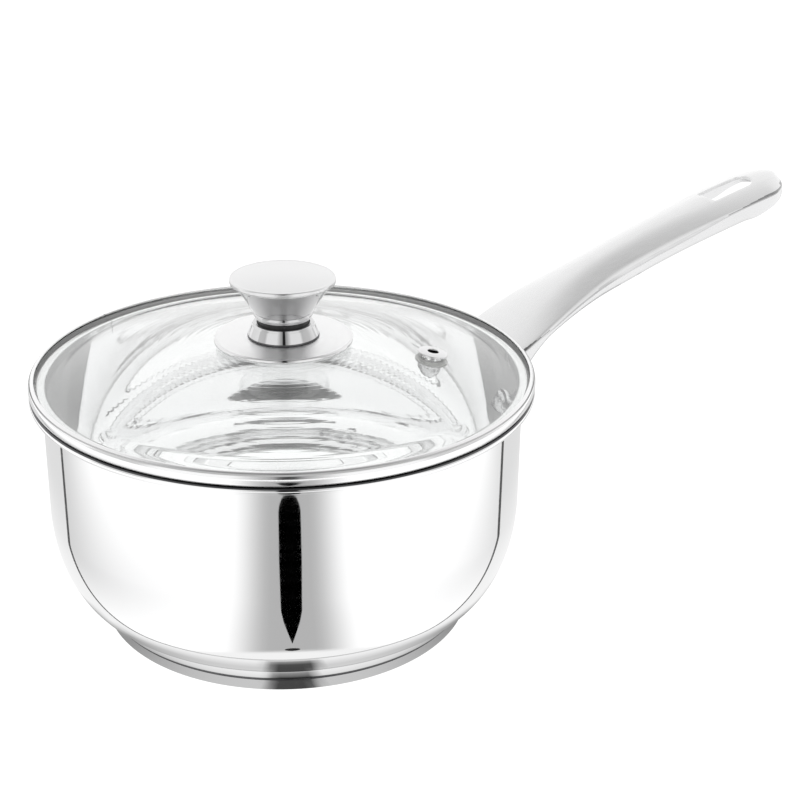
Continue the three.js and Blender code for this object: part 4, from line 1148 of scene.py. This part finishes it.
def back_shade(x, y):
    """Brightness of the white mat under the pan as a painted reflection, with a painted shadow where
    the base stands on it.
    """
    radius = math.hypot(x, y)
    away = abs((math.degrees(math.atan2(y, x)) - DARK_AZIMUTH + 180) % 360 - 180)
    slit = 0.10 + 0.90 * smoothstep(away, 5, 10)
    # Painted shadow of the base in the reflection, darker towards the sides and in the slit.
    contact_shadow = (0.60 - 0.34 * smoothstep(away, 15, 75)) * slit
    outside = mix(0.87, 0.70, smoothstep(radius, 84, 180)) * mix(slit, 1, smoothstep(radius, 76, FRONT_ARC))
    return mix(contact_shadow, outside, smoothstep(radius, 70, FRONT_ARC))


def polar(radius, degrees):
    angle = math.radians(degrees)
    return radius * math.cos(angle), radius * math.sin(angle)


def build_floor_cards():
    """What the polished side sees of the floor, as painted reflections: its open part, the white mat and
    the mat's dark edge.
    """
    radii = [60 + 1.5 * i for i in range(24)] + [96 + 6 * i for i in range(54)]
    angles = range(-180, 181, 2)
    vertices = [(*polar(r, a), OPEN_FLOOR_Z) for r in radii for a in angles]
    shades = [OPEN_WHITE * floor_shade(x, y) for x, y, z in vertices]
    painted_card("floor_shade", vertices, grid_faces(len(radii), len(angles)), shades)

    columns = [*range(-500, -60, 10), *range(-58, 62, 3), *range(64, 500, 10)]
    rows = [0, 2, 5, 9, 14, 20, 28, 38, 50, 65, 85, 110, 140, 180, 240, 320, 450]
    vertices = [(x, front_line(x) + back, MAT_Z) for x in columns for back in rows]
    shades = [MAT_WHITE * back_shade(x, y) for x, y, z in vertices]
    painted_card("back_floor", vertices, grid_faces(len(columns), len(rows)), shades)

    vertices, shades = [], []
    for x in [-330 + 5.5 * i for i in range(121)]:
        wide = 0.5 + 5.0 * smoothstep(abs(x), 50, 220)
        vertices += [(x, front_line(x) - wide, MAT_EDGE_Z), (x, front_line(x) + wide, MAT_EDGE_Z)]
        shades += [mix(0.6, 0.10, smoothstep(abs(x), 30, 75))] * 2
    painted_card("mat_edge", vertices, grid_faces(len(vertices) // 2, 2), shades)


def build_dark_strip():
    """Painted reflections of the long dark strip on the floor, seen in the wall's middle, and of the dark
    spot at its near end.
    """
    strip = [(94, 0), (107, 5.5), (120, 11), (137, 16.5), (155, 19.5), (185, 26), (210, 30), (224, 32)]
    for turn in range(10, 91, 10):
        wide, further = polar(1, turn)
        strip.append((224 + 18 * further, 32 * wide))
    along = Vector((*polar(1, DARK_AZIMUTH), 0))
    side = Vector((-along.y, along.x, 0))
    outline = [along * r + side * (w / 2) for r, w in strip]
    outline += [along * r - side * (w / 2) for r, w in strip[-2:0:-1]]
    points = [(p.x, p.y, DARK_STRIP_Z) for p in outline]
    stage_mesh("dark_strip", points, [tuple(range(len(points)))], card_material("dark_card", 0.0), True)
    spot = along * 88.5
    ring = [polar(1, 30 * i) for i in range(12)]
    points = [(spot.x + 3.6 * x, spot.y + 1.3 * y, DARK_SPOT_Z) for x, y in ring]
    stage_mesh("dark_spot", points, [tuple(range(12))], card_material("dark_spot", 0.02), True)


def build_studio():
    floor = [(-6000, -6000, 0), (6000, -6000, 0), (6000, 6000, 0), (-6000, 6000, 0)]
    stage_mesh("floor", floor, [(0, 1, 2, 3)], floor_material())
    build_floor_cards()
    build_dark_strip()


def build_world():
    """White all round for the camera itself. The metal reflects a white tent with a dark slit in front."""
    world = bpy.data.worlds.new("studio")
    world.use_nodes = True
    tree = Tree(world.node_tree)
    background = next(n for n in tree.nodes if n.type == "BACKGROUND")
    tree.join(background, "Color", (1, 1, 1, 1))
    tree.join(background, "Strength", WHITE)
    turn = tree.node("ShaderNodeVectorRotate", Angle=-VIEW_AZIMUTH)
    turn.rotation_type = "Z_AXIS"
    tree.join(turn, "Vector", tree.node("ShaderNodeTexCoord").outputs["Generated"])
    x, y, z = tree.node("ShaderNodeSeparateXYZ", Vector=turn.outputs[0]).outputs
    away = tree.math("ABSOLUTE", tree.math("ADD", tree.math("ARCTAN2", y, x), -math.radians(DARK_AZIMUTH)))
    around = tree.ramp(tree.math("DIVIDE", away, math.pi), [(a / 180, grey(shade)) for a, shade in TENT])
    above = tree.ramp(z, [(height, grey(shade)) for height, shade in TENT_TOP])
    both = tree.node("ShaderNodeMix")
    both.data_type = "RGBA"
    both.blend_type = "MULTIPLY"
    for socket, value in (("Factor", 1.0), ("A", around), ("B", above)):
        tree.join(both, socket, value)
    tent = tree.node("ShaderNodeBackground", Strength=WHITE, Color=both.outputs["Result"])
    path = tree.node("ShaderNodeLightPath").outputs
    choose = tree.node("ShaderNodeMixShader")
    seen = tree.math("MAXIMUM", path["Is Camera Ray"], path["Is Transmission Ray"])
    for i, value in enumerate((seen, tent.outputs[0], background.outputs[0])):
        tree.join(choose, i, value)
    out = next(n for n in tree.nodes if n.type == "OUTPUT_WORLD")
    tree.join(out, "Surface", choose.outputs[0])
    bpy.context.scene.world = world
    view = bpy.context.scene.view_settings
    view.view_transform = "Standard"
    view.look = "None"
    view.exposure = 0
    view.gamma = 1


# ---------------------------------------------------------------- build

build_pan()
build_base()
build_rivet("rivet_left_piece", 1)
build_rivet("rivet_right_piece", -1)
build_handle()
build_plate()
build_glass()
build_band()
build_vent()
build_cap()
build_cone()
build_collar()
build_skirt()
build_fittings()
core_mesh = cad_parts["base_core"].data
core_mesh.materials.clear()
core_mesh.materials.append(CORE_METAL)
build_camera()
build_studio()
build_world()
